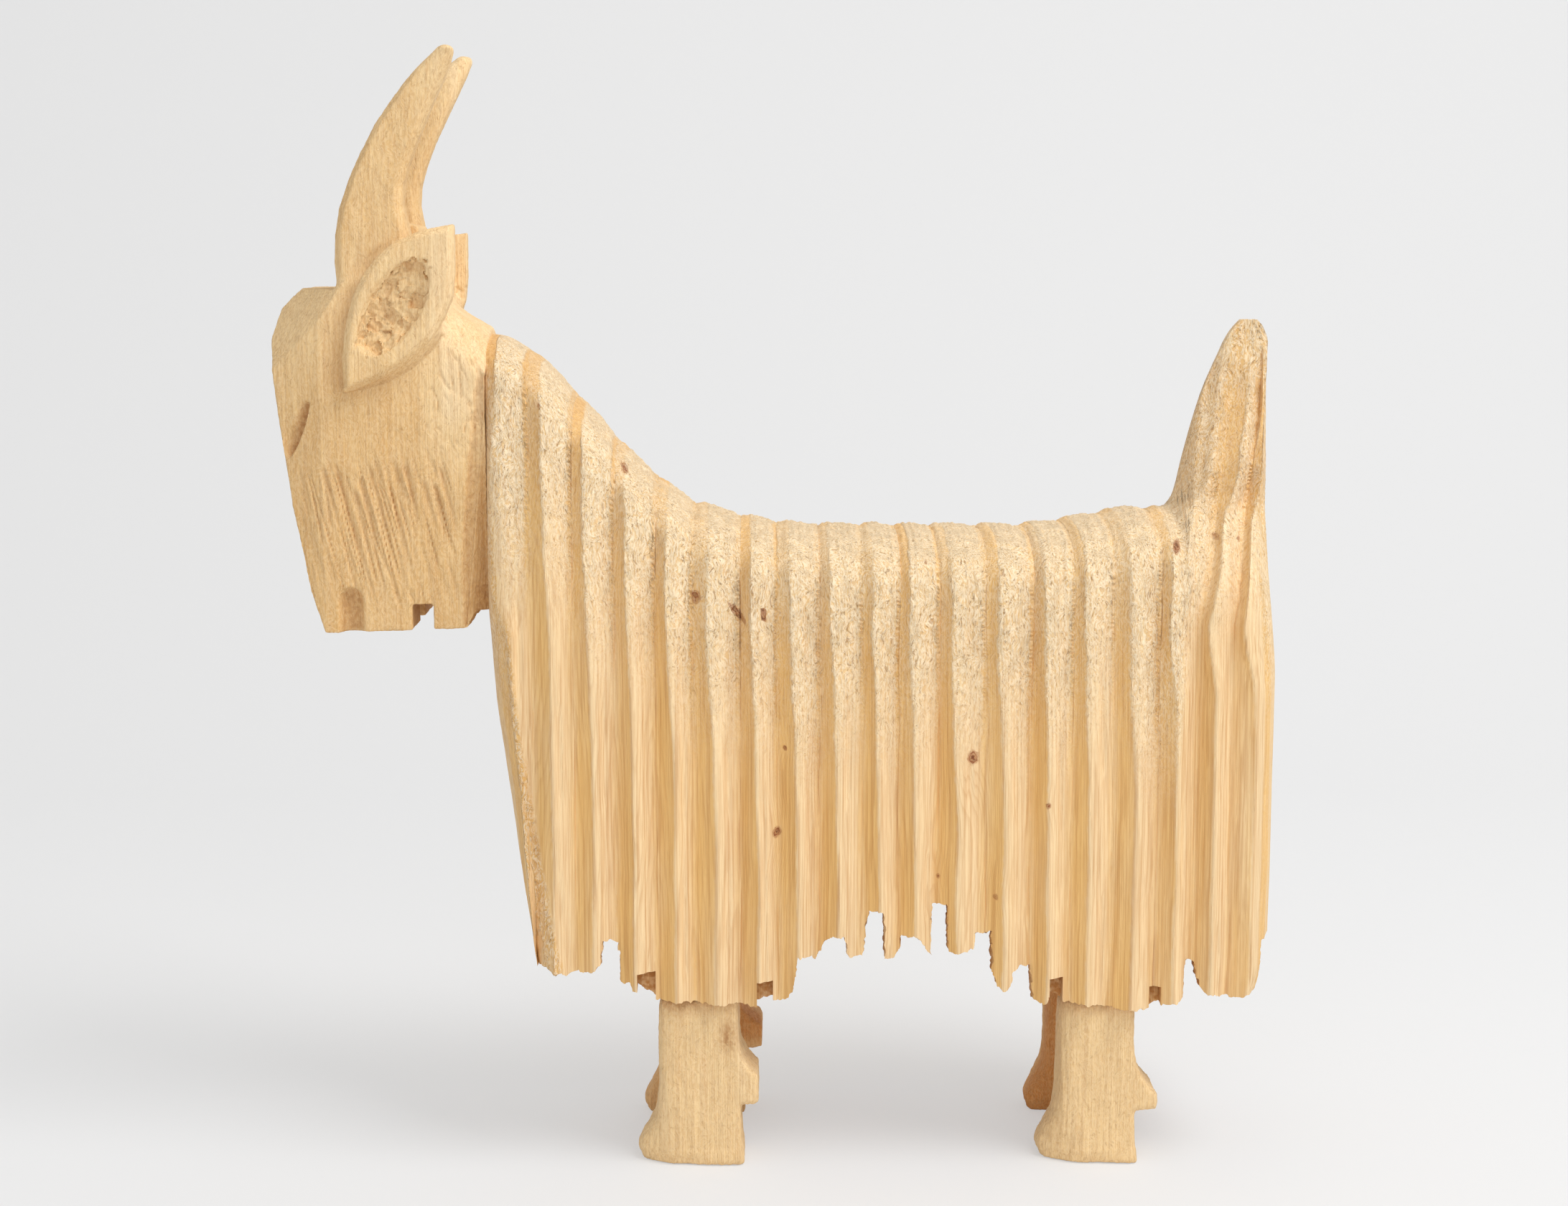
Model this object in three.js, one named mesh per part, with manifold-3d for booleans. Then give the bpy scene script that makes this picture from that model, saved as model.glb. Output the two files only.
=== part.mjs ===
// A carved pine goat, standing. It faces -X, its left side is -Y and +Z is up.
// The body is glued up from upright staves, and the head, horns, ears and legs are dowelled on.
// All sizes are millimetres. The origin is on the floor, under the middle of the goat's length.
import * as THREE from 'three';
import { mergeVertices } from 'three/addons/utils/BufferGeometryUtils.js';
import Module from 'manifold-3d';

const wasm = await Module();
wasm.setup();

// Overall sizes
const overallHeight = 700;
const headLength = 135;
const bodyLength = 495;
const bodyHalfWidth = 76;
const headHalfWidth = 48;
const jointGap = 0.3;
const cutterSpare = 20;

// Fleece: each carved ridge's part of the body's length, from the chest back, and how many make a stave
const ridgeParts = [32, 22, 26, 25, 23.5, 29, 23.5, 26, 27, 22, 25, 29, 29, 25, 26, 28, 24, 22, 31];
const ridgesPerStave = [2, 2, 2, 2, 2, 2, 2, 2, 3];
const crestPlace = 0.44;
const grooveDepth = 8;
const grooveFade = 110;
const grooveTopShare = 0.3;
const endGrooveOffset = 12;
const rumpGrooveBend = 334;
const rumpGrooveTop = 486;

// Heights of the body
const hemHeight = 104;
const jawHeight = 343;
const jawDrop = 13;
const neckFoot = jawHeight + jawDrop;
const neckHeight = 530;
const saddleHeight = 404;
const tailRootHeight = 418;
const tailTipHeight = 536;
const tailFoot = 364;
const tailEdgeCut = 10;

// Roundings of the body
const crownHeight = 46;
const crownPower = 2.3;
const crestHalfWidth = 4;
const neckHalfWidth = 52;
const neckSeamHalf = 46;
const chestRadius = 32;
const rumpRadius = 30;

// Hollow under the body, and the pads that carry the legs
const hollowCeiling = 176;
const skirtWall = 22;
const hollowFrontRidge = 2.25;
const hollowRearRidge = 18.15;
const foreLegPad = [3.44, 6.9];
const hindLegPad = [13.4, 16.24];
const padMargin = 6;

// Legs: shank is its length along the goat, toe how far the hoof stands out in front of it,
// and claw how far the dewclaw stands out behind it, with the heights of its foot, nose and top
const legHeight = 112;
const legInset = 10;
const legThickness = 38;
const legOuter = bodyHalfWidth - legInset;
const legInner = legOuter - legThickness;
const legBevel = 2;
const foreLegStave = 2;
const hindLegStave = 7;
const hindLegLead = 3.5;
const hoofHeight = 28;
const hoofRise = 38;
const hoofCorner = { long: 25, deep: 14 };
const foreShank = 51;
const hindShank = 47;
const legShapes = [
  { name: 'foreleg_left', hind: false, side: -1, set: 0, toe: 14, claw: [12, 40, 60, 82] },
  { name: 'hindleg_left', hind: true, side: -1, set: 0, toe: 13, claw: [16, 35, 46, 78] },
  { name: 'foreleg_right', hind: false, side: 1, set: 0, toe: 14, claw: [15, 45, 62, 80] },
  { name: 'hindleg_right', hind: true, side: 1, set: 3, toe: 14, claw: [12, 36, 46, 76] },
];

// Head, measured back from the front of the face
const pollHeight = 556;
const hornSeatFront = 558;
const hornSeatRear = 577;
const saddleTop = 596;
const saddleHalfWidth = 22;
const faceTaperStart = 34;
const faceHalfWidth = 36;
const cheekRelief = 12;
const cheekReliefHeight = 125;

// Horns and ears
const hornOuter = 47;
const hornSplay = 10;
const hornBaseThickness = 25;
const hornTipThickness = 16;
const earThickness = 12;
const earBevel = 4;

// Dowels
const staveDowel = { radius: 7, length: 48 };
const staveDowelHeights = [215, 340];
const legDowel = { radius: 8, length: 76 };
const headDowel = { radius: 8, length: 76 };
const headDowelInset = { foot: 39, top: 60 };
const hornDowel = { radius: 6, length: 44, back: 68 };
const earPeg = { radius: 4, length: 13, back: 76, height: 528, sunk: 3 };
const dowelSides = 12;
const dowelFit = 0.3;

// Places along the goat
const allParts = ridgeParts.reduce((sum, part) => sum + part, 0);
const ridgeWidths = ridgeParts.map((part) => bodyLength * part / allParts);
const faceFront = -(headLength + bodyLength) / 2;
const neckPlane = faceFront + headLength;
const rump = neckPlane + bodyLength;
const ridgeEdges = [neckPlane];
for (const width of ridgeWidths) {
  ridgeEdges.push(ridgeEdges[ridgeEdges.length - 1] + width);
}
const staveEdges = [0];
for (const count of ridgesPerStave) {
  staveEdges.push(staveEdges[staveEdges.length - 1] + count);
}
const along = (ridge) => {
  const whole = Math.min(Math.floor(ridge), ridgeWidths.length - 1);
  return ridgeEdges[whole] + (ridge - whole) * ridgeWidths[whole];
};

const pine = new THREE.Color('#e6c78f');
const yellowPine = new THREE.Color('#e3bf80');
const beech = new THREE.Color('#cfa577');
const wood = (color) => new THREE.MeshStandardMaterial({ color, roughness: 0.78, metalness: 0 });

// Small maths
const { clamp, lerp, smoothstep } = THREE.MathUtils;

// A smooth line through [place, value] points, level beyond its ends.
function profile(points) {
  const grade = (i) => (points[i + 1][1] - points[i][1]) / (points[i + 1][0] - points[i][0]);
  const slope = points.map((point, i) => {
    const before = grade(Math.max(i - 1, 0));
    const after = grade(Math.min(i, points.length - 2));
    return before * after > 0 ? 2 * before * after / (before + after) : 0;
  });
  return (place) => {
    const last = points.length - 1;
    if (place <= points[0][0]) return points[0][1];
    if (place >= points[last][0]) return points[last][1];
    const i = points.findIndex((point) => point[0] > place) - 1;
    const step = points[i + 1][0] - points[i][0];
    const u = (place - points[i][0]) / step;
    const rise = points[i + 1][1] - points[i][1];
    const start = slope[i] * step - rise;
    const end = rise - slope[i + 1] * step;
    return lerp(points[i][1], points[i + 1][1], u) + u * (1 - u) * (start * (1 - u) + end * u);
  };
}

// Solids
function solid(geometry) {
  const bare = geometry.clone();
  bare.deleteAttribute('normal');
  bare.deleteAttribute('uv');
  const merged = mergeVertices(bare, 1e-4);
  return new wasm.Manifold(new wasm.Mesh({
    numProp: 3,
    vertProperties: new Float32Array(merged.attributes.position.array),
    triVerts: new Uint32Array(merged.index.array),
  }));
}

function mesh(name, body, color) {
  const shape = body.getMesh();
  const geometry = new THREE.BufferGeometry();
  geometry.setAttribute('position', new THREE.BufferAttribute(new Float32Array(shape.vertProperties), 3));
  geometry.setIndex(new THREE.BufferAttribute(new Uint32Array(shape.triVerts), 1));
  geometry.computeVertexNormals();
  const result = new THREE.Mesh(geometry, wood(color));
  result.name = name;
  return result;
}

function block(x0, x1, y0, y1, z0, z1) {
  const box = new THREE.BoxGeometry(x1 - x0, y1 - y0, z1 - z0);
  return solid(box.translate((x0 + x1) / 2, (y0 + y1) / 2, (z0 + z1) / 2));
}

// A side view outline of [x, z] points or a Shape, made thick between two places in Y.
function plank(outline, y0, y1, bevel = 0) {
  const shape = Array.isArray(outline)
    ? new THREE.Shape(outline.map(([x, z]) => new THREE.Vector2(x, z)))
    : outline;
  const geometry = new THREE.ExtrudeGeometry(shape, {
    depth: y1 - y0 - 2 * bevel,
    bevelEnabled: bevel > 0,
    bevelThickness: bevel,
    bevelSize: bevel,
    bevelOffset: -bevel,
    bevelSegments: 1,
    curveSegments: 9,
  });
  return solid(geometry.rotateX(Math.PI / 2).translate(0, y1 - bevel, 0));
}

// Everything on the side of a plane that its normal points to.
function beyond(point, normal) {
  const reach = 2 * overallHeight;
  const turn = new THREE.Quaternion().setFromUnitVectors(
    new THREE.Vector3(0, 0, 1),
    new THREE.Vector3(...normal).normalize(),
  );
  const box = new THREE.BoxGeometry(reach, reach, reach).translate(0, 0, reach / 2);
  return solid(box.applyQuaternion(turn).translate(...point));
}

function planeThrough(a, b, c) {
  const [p, q, r] = [a, b, c].map((point) => new THREE.Vector3(...point));
  return q.sub(p).cross(r.sub(p)).normalize().toArray();
}

// A square bar on edge, whose lower half cuts a V groove along the line from a to b.
function grooveCutter(a, b, depth) {
  const start = new THREE.Vector3(...a);
  const run = new THREE.Vector3(...b).sub(start);
  const side = depth * Math.SQRT2;
  const across = new THREE.Vector3(0, 1, 0);
  const along = run.clone().normalize();
  const third = new THREE.Vector3().crossVectors(along, across);
  const frame = new THREE.Matrix4().makeBasis(across, third, along);
  const bar = new THREE.BoxGeometry(side, side, run.length()).rotateZ(Math.PI / 4);
  return solid(bar.applyMatrix4(frame).translate(...start.addScaledVector(run, 0.5).toArray()));
}

function dowel({ radius, length }, axis, centre, spare = 0) {
  const rod = new THREE.CylinderGeometry(radius + spare, radius + spare, length + 2 * spare, dowelSides);
  if (axis === 'x') rod.rotateZ(Math.PI / 2);
  if (axis === 'z') rod.rotateX(Math.PI / 2);
  return solid(rod.translate(...centre));
}

// A closed skin through rings of points, each ring with as many points as the next.
function loft(rings) {
  const size = rings[0].length;
  const index = [];
  for (let ring = 0; ring + 1 < rings.length; ring += 1) {
    for (let i = 0; i < size; i += 1) {
      const a = ring * size + i;
      const b = ring * size + ((i + 1) % size);
      index.push(a, b, b + size, a, b + size, a + size);
    }
  }
  const top = (rings.length - 1) * size;
  for (let i = 1; i + 1 < size; i += 1) {
    index.push(0, i + 1, i, top, top + i, top + i + 1);
  }
  const geometry = new THREE.BufferGeometry();
  geometry.setAttribute('position', new THREE.Float32BufferAttribute(rings.flat(2), 3));
  geometry.setIndex(index);
  return solid(geometry);
}

// One ring of a blade: a flat section between a front and a rear point, with its edges cut off.
function bladeRing([frontX, frontZ], [rearX, rearZ], y0, y1, cut) {
  const length = Math.hypot(rearX - frontX, rearZ - frontZ);
  const at = (u, y) => [lerp(frontX, rearX, u / length), y, lerp(frontZ, rearZ, u / length)];
  const trim = Math.min(cut, length / 3, (y1 - y0) / 3);
  return [
    at(trim, y0), at(length - trim, y0), at(length, y0 + trim), at(length, y1 - trim),
    at(length - trim, y1), at(trim, y1), at(0, y1 - trim), at(0, y0 + trim),
  ];
}

// Body surface
const nape = (share) => lerp(saddleHeight, neckHeight, share);
const lengthwise = (share) => lerp(neckPlane, rump, share);
const backHeight = profile([
  [neckPlane, neckHeight], [lengthwise(0.053), nape(0.89)], [lengthwise(0.123), nape(0.61)],
  [lengthwise(0.196), nape(0.31)], [lengthwise(0.269), nape(0.11)],
  [lengthwise(0.408), saddleHeight + 1], [lengthwise(0.665), saddleHeight],
  [lengthwise(0.867), tailRootHeight - 1], [rump, tailRootHeight],
]);
const chestSet = profile([
  [neckFoot - 229, 31], [neckFoot - 169, 20], [neckFoot - 97, 9], [neckFoot - 50, 3], [neckFoot, 0],
]);
const rumpSet = profile([
  [hemHeight, 6], [hemHeight + 29, 0],
  [tailRootHeight - 108, 0], [tailRootHeight - 37, 5], [tailRootHeight, 6],
]);
const chestFront = (z) => neckPlane + chestSet(z);
const rumpRear = (z) => rump - rumpSet(z);

function cornerCut(inset, radius) {
  const left = radius - clamp(inset, 0, radius);
  return radius - Math.sqrt(radius * radius - left * left);
}

function halfWidth(x, z, top) {
  const wall = lerp(bodyHalfWidth, neckHalfWidth, smoothstep(z, saddleHeight - 60, neckHeight));
  const under = clamp((top - z) / crownHeight, 0, 1);
  const arch = (1 - (1 - under) ** crownPower) ** (1 / crownPower);
  const chestShare = clamp((wall - neckSeamHalf) / chestRadius, 0, 1);
  const chestCut = chestShare * cornerCut(x - chestFront(z), chestRadius);
  const corners = chestCut + cornerCut(rumpRear(z) - x, rumpRadius);
  return Math.max(crestHalfWidth, crestHalfWidth + (wall - crestHalfWidth) * arch - corners * arch);
}

function grooveAt(z, top) {
  return grooveDepth * lerp(grooveTopShare, 1, smoothstep(top - z, 0, grooveFade));
}

// How far below the crest line a ridge lies, from 0 on its crest to 1 in the grooves beside it.
function ridgeFall(u) {
  if (u < crestPlace) return 1 - u / crestPlace;
  return ((u - crestPlace) / (1 - crestPlace)) ** 1.7;
}

const ridgeSteps = [0, 0.22, crestPlace, 0.72];
const levelSteps = [0, 0.1, 0.22, 0.36, 0.5, 0.62, 0.73, 0.82, 0.89, 0.94, 0.975, 1];

// The left and right skins of one stave with its crown, foot and two joint faces.
function staveBlank(first, last) {
  const columns = [];
  for (let ridge = first; ridge < last; ridge += 1) {
    for (const u of ridgeSteps) columns.push({ ridge, u, fall: ridgeFall(u) });
  }
  columns.push({ ridge: last - 1, u: 1, fall: 1 });
  const place = ({ ridge, u }, z) => {
    const left = ridge === 0 ? chestFront(z) : ridgeEdges[ridge];
    const right = ridge === ridgeWidths.length - 1 ? rumpRear(z) : ridgeEdges[ridge + 1];
    const front = ridge === first ? jointGap / 2 : 0;
    const rear = ridge === last - 1 && last < ridgeWidths.length ? jointGap / 2 : 0;
    return lerp(left + front, right - rear, u);
  };
  const rows = columns.map((column) => {
    const top = backHeight(place(column, neckHeight));
    return levelSteps.map((t) => {
      const z = lerp(hemHeight, top, t);
      const x = place(column, z);
      const half = Math.max(halfWidth(x, z, top) - grooveAt(z, top) * column.fall, crestHalfWidth / 2);
      return { x, z, half };
    });
  });
  const levels = levelSteps.length;
  const near = (c, k) => 2 * (c * levels + k);
  const far = (c, k) => near(c, k) + 1;
  const positions = rows.flat().flatMap(({ x, z, half }) => [x, -half, z, x, half, z]);
  const index = [];
  const quad = (a, b, c, d) => index.push(a, b, c, a, c, d);
  const end = columns.length - 1;
  const crown = levels - 1;
  for (let c = 0; c < end; c += 1) {
    for (let k = 0; k < crown; k += 1) {
      quad(near(c, k), near(c + 1, k), near(c + 1, k + 1), near(c, k + 1));
      quad(far(c, k), far(c, k + 1), far(c + 1, k + 1), far(c + 1, k));
    }
    quad(near(c, crown), near(c + 1, crown), far(c + 1, crown), far(c, crown));
    quad(near(c, 0), far(c, 0), far(c + 1, 0), near(c + 1, 0));
  }
  for (let k = 0; k < crown; k += 1) {
    quad(near(0, k), near(0, k + 1), far(0, k + 1), far(0, k));
    quad(near(end, k), far(end, k), far(end, k + 1), near(end, k + 1));
  }
  const geometry = new THREE.BufferGeometry();
  geometry.setAttribute('position', new THREE.Float32BufferAttribute(positions, 3));
  geometry.setIndex(index);
  return solid(geometry);
}

// The hem of the fleece, as [place counted in ridges, height], lock by lock from the chest.
const hem = [
  [1.14, 134], [1.36, 130], [1.64, 129], [2.46, 132], [2.58, 136],
  [2.65, 151], [3, 150], [3.04, 142], [3.08, 124], [3.32, 123], [3.36, 119], [3.48, 119],
  [3.96, 112], [6.32, 108], [6.87, 112], [7.19, 112], [7.35, 120], [7.46, 140], [7.81, 140], [7.88, 136],
  [8.11, 150], [8.22, 152], [8.56, 154], [8.67, 140], [9, 140],
  [9.09, 160], [9.18, 169], [9.59, 169], [9.64, 139], [9.91, 139], [10.04, 145],
  [10.08, 153], [10.52, 153], [10.83, 139], [10.85, 173], [11.21, 173], [11.24, 143], [11.78, 145],
  [11.8, 154], [12.17, 156], [12.21, 128], [12.31, 121], [12.48, 118], [12.61, 121],
  [12.63, 129], [12.79, 133], [13.04, 133], [13.12, 110], [13.4, 109], [13.48, 114],
  [13.88, 110], [15.46, 105], [15.89, 104.5], [16.21, 108], [16.63, 110], [16.78, 113],
  [16.8, 133], [16.92, 136], [17.05, 136], [17.14, 127], [17.27, 118],
  [17.41, 116], [17.73, 113], [18.35, 112], [18.62, 116], [18.72, 124], [18.75, 146], [19, 149],
];

// Blind notches beside the legs, as [first place, last place, height], which stop at the pads.
const blindNotches = [[3.48, 3.94, 130], [6.42, 6.85, 124], [13.5, 13.86, 126], [15.91, 16.2, 119]];
const blindNotchDepth = 16;

// Where the legs stand, front edge first
const foreLegX = ridgeEdges[staveEdges[foreLegStave]];
const hindLegX = ridgeEdges[staveEdges[hindLegStave]] - hindLegLead;
const legMiddle = legInner + legThickness / 2;
const legs = legShapes.map((shape) => ({
  ...shape,
  x: (shape.hind ? hindLegX : foreLegX) + shape.set,
  shank: shape.hind ? hindShank : foreShank,
}));
const legDowelCentre = ({ side, x, shank }) => [x + shank / 2, side * legMiddle, legHeight];
const sides = [['left', -1], ['right', 1]];

function sideBlock(side, x0, x1, inner, outer, z0, z1) {
  return side < 0 ? block(x0, x1, -outer, -inner, z0, z1) : block(x0, x1, inner, outer, z0, z1);
}

function bodyCutters() {
  const spread = bodyHalfWidth + cutterSpare;
  const floor = hemHeight - cutterSpare;
  const line = hem.map(([ridge, z]) => [along(ridge), z]);
  const outline = [
    [neckPlane - cutterSpare, floor], [rump + cutterSpare, floor],
    [rump + cutterSpare, line[line.length - 1][1]], ...line.reverse(), [neckPlane - cutterSpare, hem[0][1]],
  ];
  const cutters = [plank(outline, -spread, spread)];
  const inside = bodyHalfWidth - skirtWall;
  let hollow = block(along(hollowFrontRidge), along(hollowRearRidge), -inside, inside, floor, hollowCeiling);
  for (const [, side] of sides) {
    for (const [from, to] of [foreLegPad, hindLegPad]) {
      const inner = legInner - padMargin;
      const pad = sideBlock(side, along(from), along(to), inner, spread, floor, hollowCeiling + 1);
      hollow = hollow.subtract(pad);
    }
    for (const [from, to, top] of blindNotches) {
      const inner = bodyHalfWidth - blindNotchDepth;
      cutters.push(sideBlock(side, along(from), along(to), inner, spread, floor, top));
    }
  }
  for (const { side, x, shank } of legs) {
    cutters.push(sideBlock(
      side, x - jointGap, x + shank + jointGap,
      legInner - jointGap, legOuter + jointGap, floor, legHeight + jointGap,
    ));
  }
  cutters.push(hollow);
  return cutters;
}

// Dowel places
const staveDowels = [];
for (let joint = 1; joint < ridgesPerStave.length; joint += 1) {
  const x = ridgeEdges[staveEdges[joint]];
  staveDowelHeights.forEach((z, row) => {
    const roof = Math.min(backHeight(x - staveDowel.length / 2), backHeight(x + staveDowel.length / 2));
    if (z + 3 * staveDowel.radius < roof) {
      staveDowels.push({ name: `stave_dowel_${joint}_${row + 1}`, centre: [x, 0, z] });
    }
  });
}
const headDowelHeights = [neckFoot + headDowelInset.foot, neckHeight - headDowelInset.top];
const headDowels = headDowelHeights.map((z, row) => ({
  name: `head_dowel_${row + 1}`,
  centre: [neckPlane, 0, z],
}));

function makeStaves() {
  const cutters = bodyCutters();
  const holes = [
    ...staveDowels.map(({ centre }) => dowel(staveDowel, 'x', centre, dowelFit)),
    ...headDowels.map(({ centre }) => dowel(headDowel, 'x', centre, dowelFit)),
    ...legs.map((leg) => dowel(legDowel, 'z', legDowelCentre(leg), dowelFit)),
  ];
  const last = ridgesPerStave.length - 1;
  return ridgesPerStave.map((count, i) => {
    let body = staveBlank(staveEdges[i], staveEdges[i + 1]);
    if (i === last) body = body.add(tailBlade());
    for (const cutter of [...cutters, ...holes, ...endGrooves(i, last)]) body = body.subtract(cutter);
    return mesh(`stave_${i + 1}`, body, pine);
  });
}

// Tail: a wedge that stands on the last stave
const upTail = (share) => lerp(tailRootHeight, tailTipHeight, share);
const tailFront = profile([
  [tailFoot, 56], [tailRootHeight, 63], [upTail(0.29), 54], [upTail(0.6), 44], [upTail(0.79), 35],
  [upTail(0.94), 26], [tailTipHeight, 20],
]);
const tailHalf = profile([[tailFoot, 58], [tailRootHeight, 40], [upTail(0.23), 31], [tailTipHeight, 12]]);
const tailRear = profile([
  [tailFoot, 8], [tailRootHeight, 5], [upTail(0.64), 4], [upTail(0.88), 3], [tailTipHeight, 10],
]);

// Grooves on each side of the tail: distance from the rump at the foot and at the top, and the top's share
const tailGrooves = [[42, 32, 0.81], [20, 11, 0.7]];
const tailGrooveDepth = 5;
const tailGrooveStart = tailRootHeight + 4;
const tailSteps = 8;

function tailBlade() {
  const heights = [tailFoot];
  for (let step = 0; step <= tailSteps; step += 1) {
    heights.push(lerp(tailRootHeight, tailTipHeight, step / tailSteps));
  }
  return loft(heights.map((z) => {
    const half = tailHalf(z);
    return bladeRing([rump - tailFront(z), z], [rump - tailRear(z), z], -half, half, tailEdgeCut);
  }));
}

// Grooves down the chest, the rump and the sides of the tail
function endGrooves(stave, last) {
  const cutters = [];
  if (stave === 0) {
    for (const y of [-endGrooveOffset, endGrooveOffset]) {
      cutters.push(grooveCutter(
        [chestFront(neckFoot), y, neckFoot + grooveDepth],
        [chestFront(hemHeight), y, hemHeight],
        grooveDepth,
      ));
    }
  }
  if (stave === last) {
    for (const y of [-endGrooveOffset, endGrooveOffset]) {
      const bend = [rump, y, rumpGrooveBend];
      const top = [rump - tailRear(rumpGrooveTop), y, rumpGrooveTop];
      cutters.push(grooveCutter([rump, y, hemHeight], [rump, y, rumpGrooveBend + grooveDepth], grooveDepth));
      cutters.push(grooveCutter(bend, top, grooveDepth));
    }
    for (const [, side] of sides) {
      for (const [lowX, highX, share] of tailGrooves) {
        cutters.push(grooveCutter(
          [rump - lowX, side * tailHalf(tailGrooveStart), tailGrooveStart],
          [rump - highX, side * tailHalf(upTail(share)), upTail(share)],
          tailGrooveDepth,
        ));
      }
    }
  }
  return cutters;
}

// Legs: hoof, shank and dewclaw in side view
function legOutline({ x, shank, toe, claw }) {
  const [clawReach, clawFoot, clawNose, clawTop] = claw;
  const rear = x + shank;
  const front = x - toe;
  const shape = new THREE.Shape();
  shape.moveTo(front + 4, 0);
  shape.lineTo(rear + 3, 0);
  shape.lineTo(rear + 1, clawFoot);
  shape.lineTo(rear + clawReach, clawFoot + 1);
  shape.lineTo(rear + clawReach, clawNose);
  shape.quadraticCurveTo(rear + 1, lerp(clawNose, clawTop, 0.4), rear, clawTop);
  shape.lineTo(rear, legHeight);
  shape.lineTo(x, legHeight);
  shape.lineTo(x, hoofHeight + hoofRise);
  shape.quadraticCurveTo(x, hoofHeight + 14, x - 4, hoofHeight);
  shape.lineTo(front + 2, hoofHeight / 2);
  shape.lineTo(front, hoofHeight / 4);
  shape.lineTo(front + 4, 0);
  return shape;
}

function makeLegs() {
  return legs.map((leg) => {
    const [y0, y1] = leg.side < 0 ? [-legOuter, -legInner] : [legInner, legOuter];
    const tip = [leg.x - leg.toe, leg.side * (legOuter - hoofCorner.deep), 0];
    const heel = [tip[0] + hoofCorner.long, leg.side * legOuter, 0];
    const top = [leg.x, leg.side * legOuter, hoofHeight + hoofRise];
    const facet = planeThrough(tip, heel, top);
    const corner = beyond(tip, facet.map((part) => -Math.sign(facet[0]) * part));
    const body = plank(legOutline(leg), y0, y1, legBevel)
      .subtract(corner)
      .subtract(dowel(legDowel, 'z', legDowelCentre(leg), dowelFit));
    return mesh(leg.name, body, yellowPine);
  });
}

// Head
const face = (x, z) => [faceFront + x, z];
const brow = (x, share) => face(x, lerp(jawHeight, pollHeight, share));
const headOutline = [
  face(33, jawHeight), face(headLength - 13, jawHeight + 3), face(headLength - 8, neckFoot),
  face(headLength - jointGap / 2, neckFoot), face(headLength - jointGap / 2, neckHeight),
  face(headLength - 17, neckHeight + 9), face(headLength - 26, neckHeight + 17),
  face(headLength - 32, hornSeatRear - 11), face(headLength - 39, hornSeatRear),
  face(45, hornSeatFront), face(43, pollHeight), face(20, pollHeight), face(12, pollHeight - 6),
  face(5, pollHeight - 13), face(1, pollHeight - 26), face(0, pollHeight - 32), brow(2, 0.79),
  brow(5, 0.69), brow(8, 0.58), brow(14, 0.37), brow(25, 0.12),
];
const saddleOutline = [
  face(60, hornSeatFront - 5), face(96, hornSeatFront - 5), face(96, hornSeatRear),
  face(93, saddleTop - 2), face(84, saddleTop), face(66, saddleTop - 8),
];
const pollFacet = { low: [19, 41], high: [43, 7], top: [20, 17] };
const neckCrown = { length: 27, inner: 5, middle: 30, fall: 7, drop: 26, run: 32, rise: 30 };
const jawNotch = { from: 88, to: 101, rise: 18 };
const jawHollow = { from: 72, to: 127, half: 12, rise: 21 };
const nostril = { x: 50, radius: 8.5, out: 2.5, rise: 21 };
const eye = { x: 20, z: 470, long: 21, wide: 4, deep: 6, lean: 0.34 };

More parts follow.
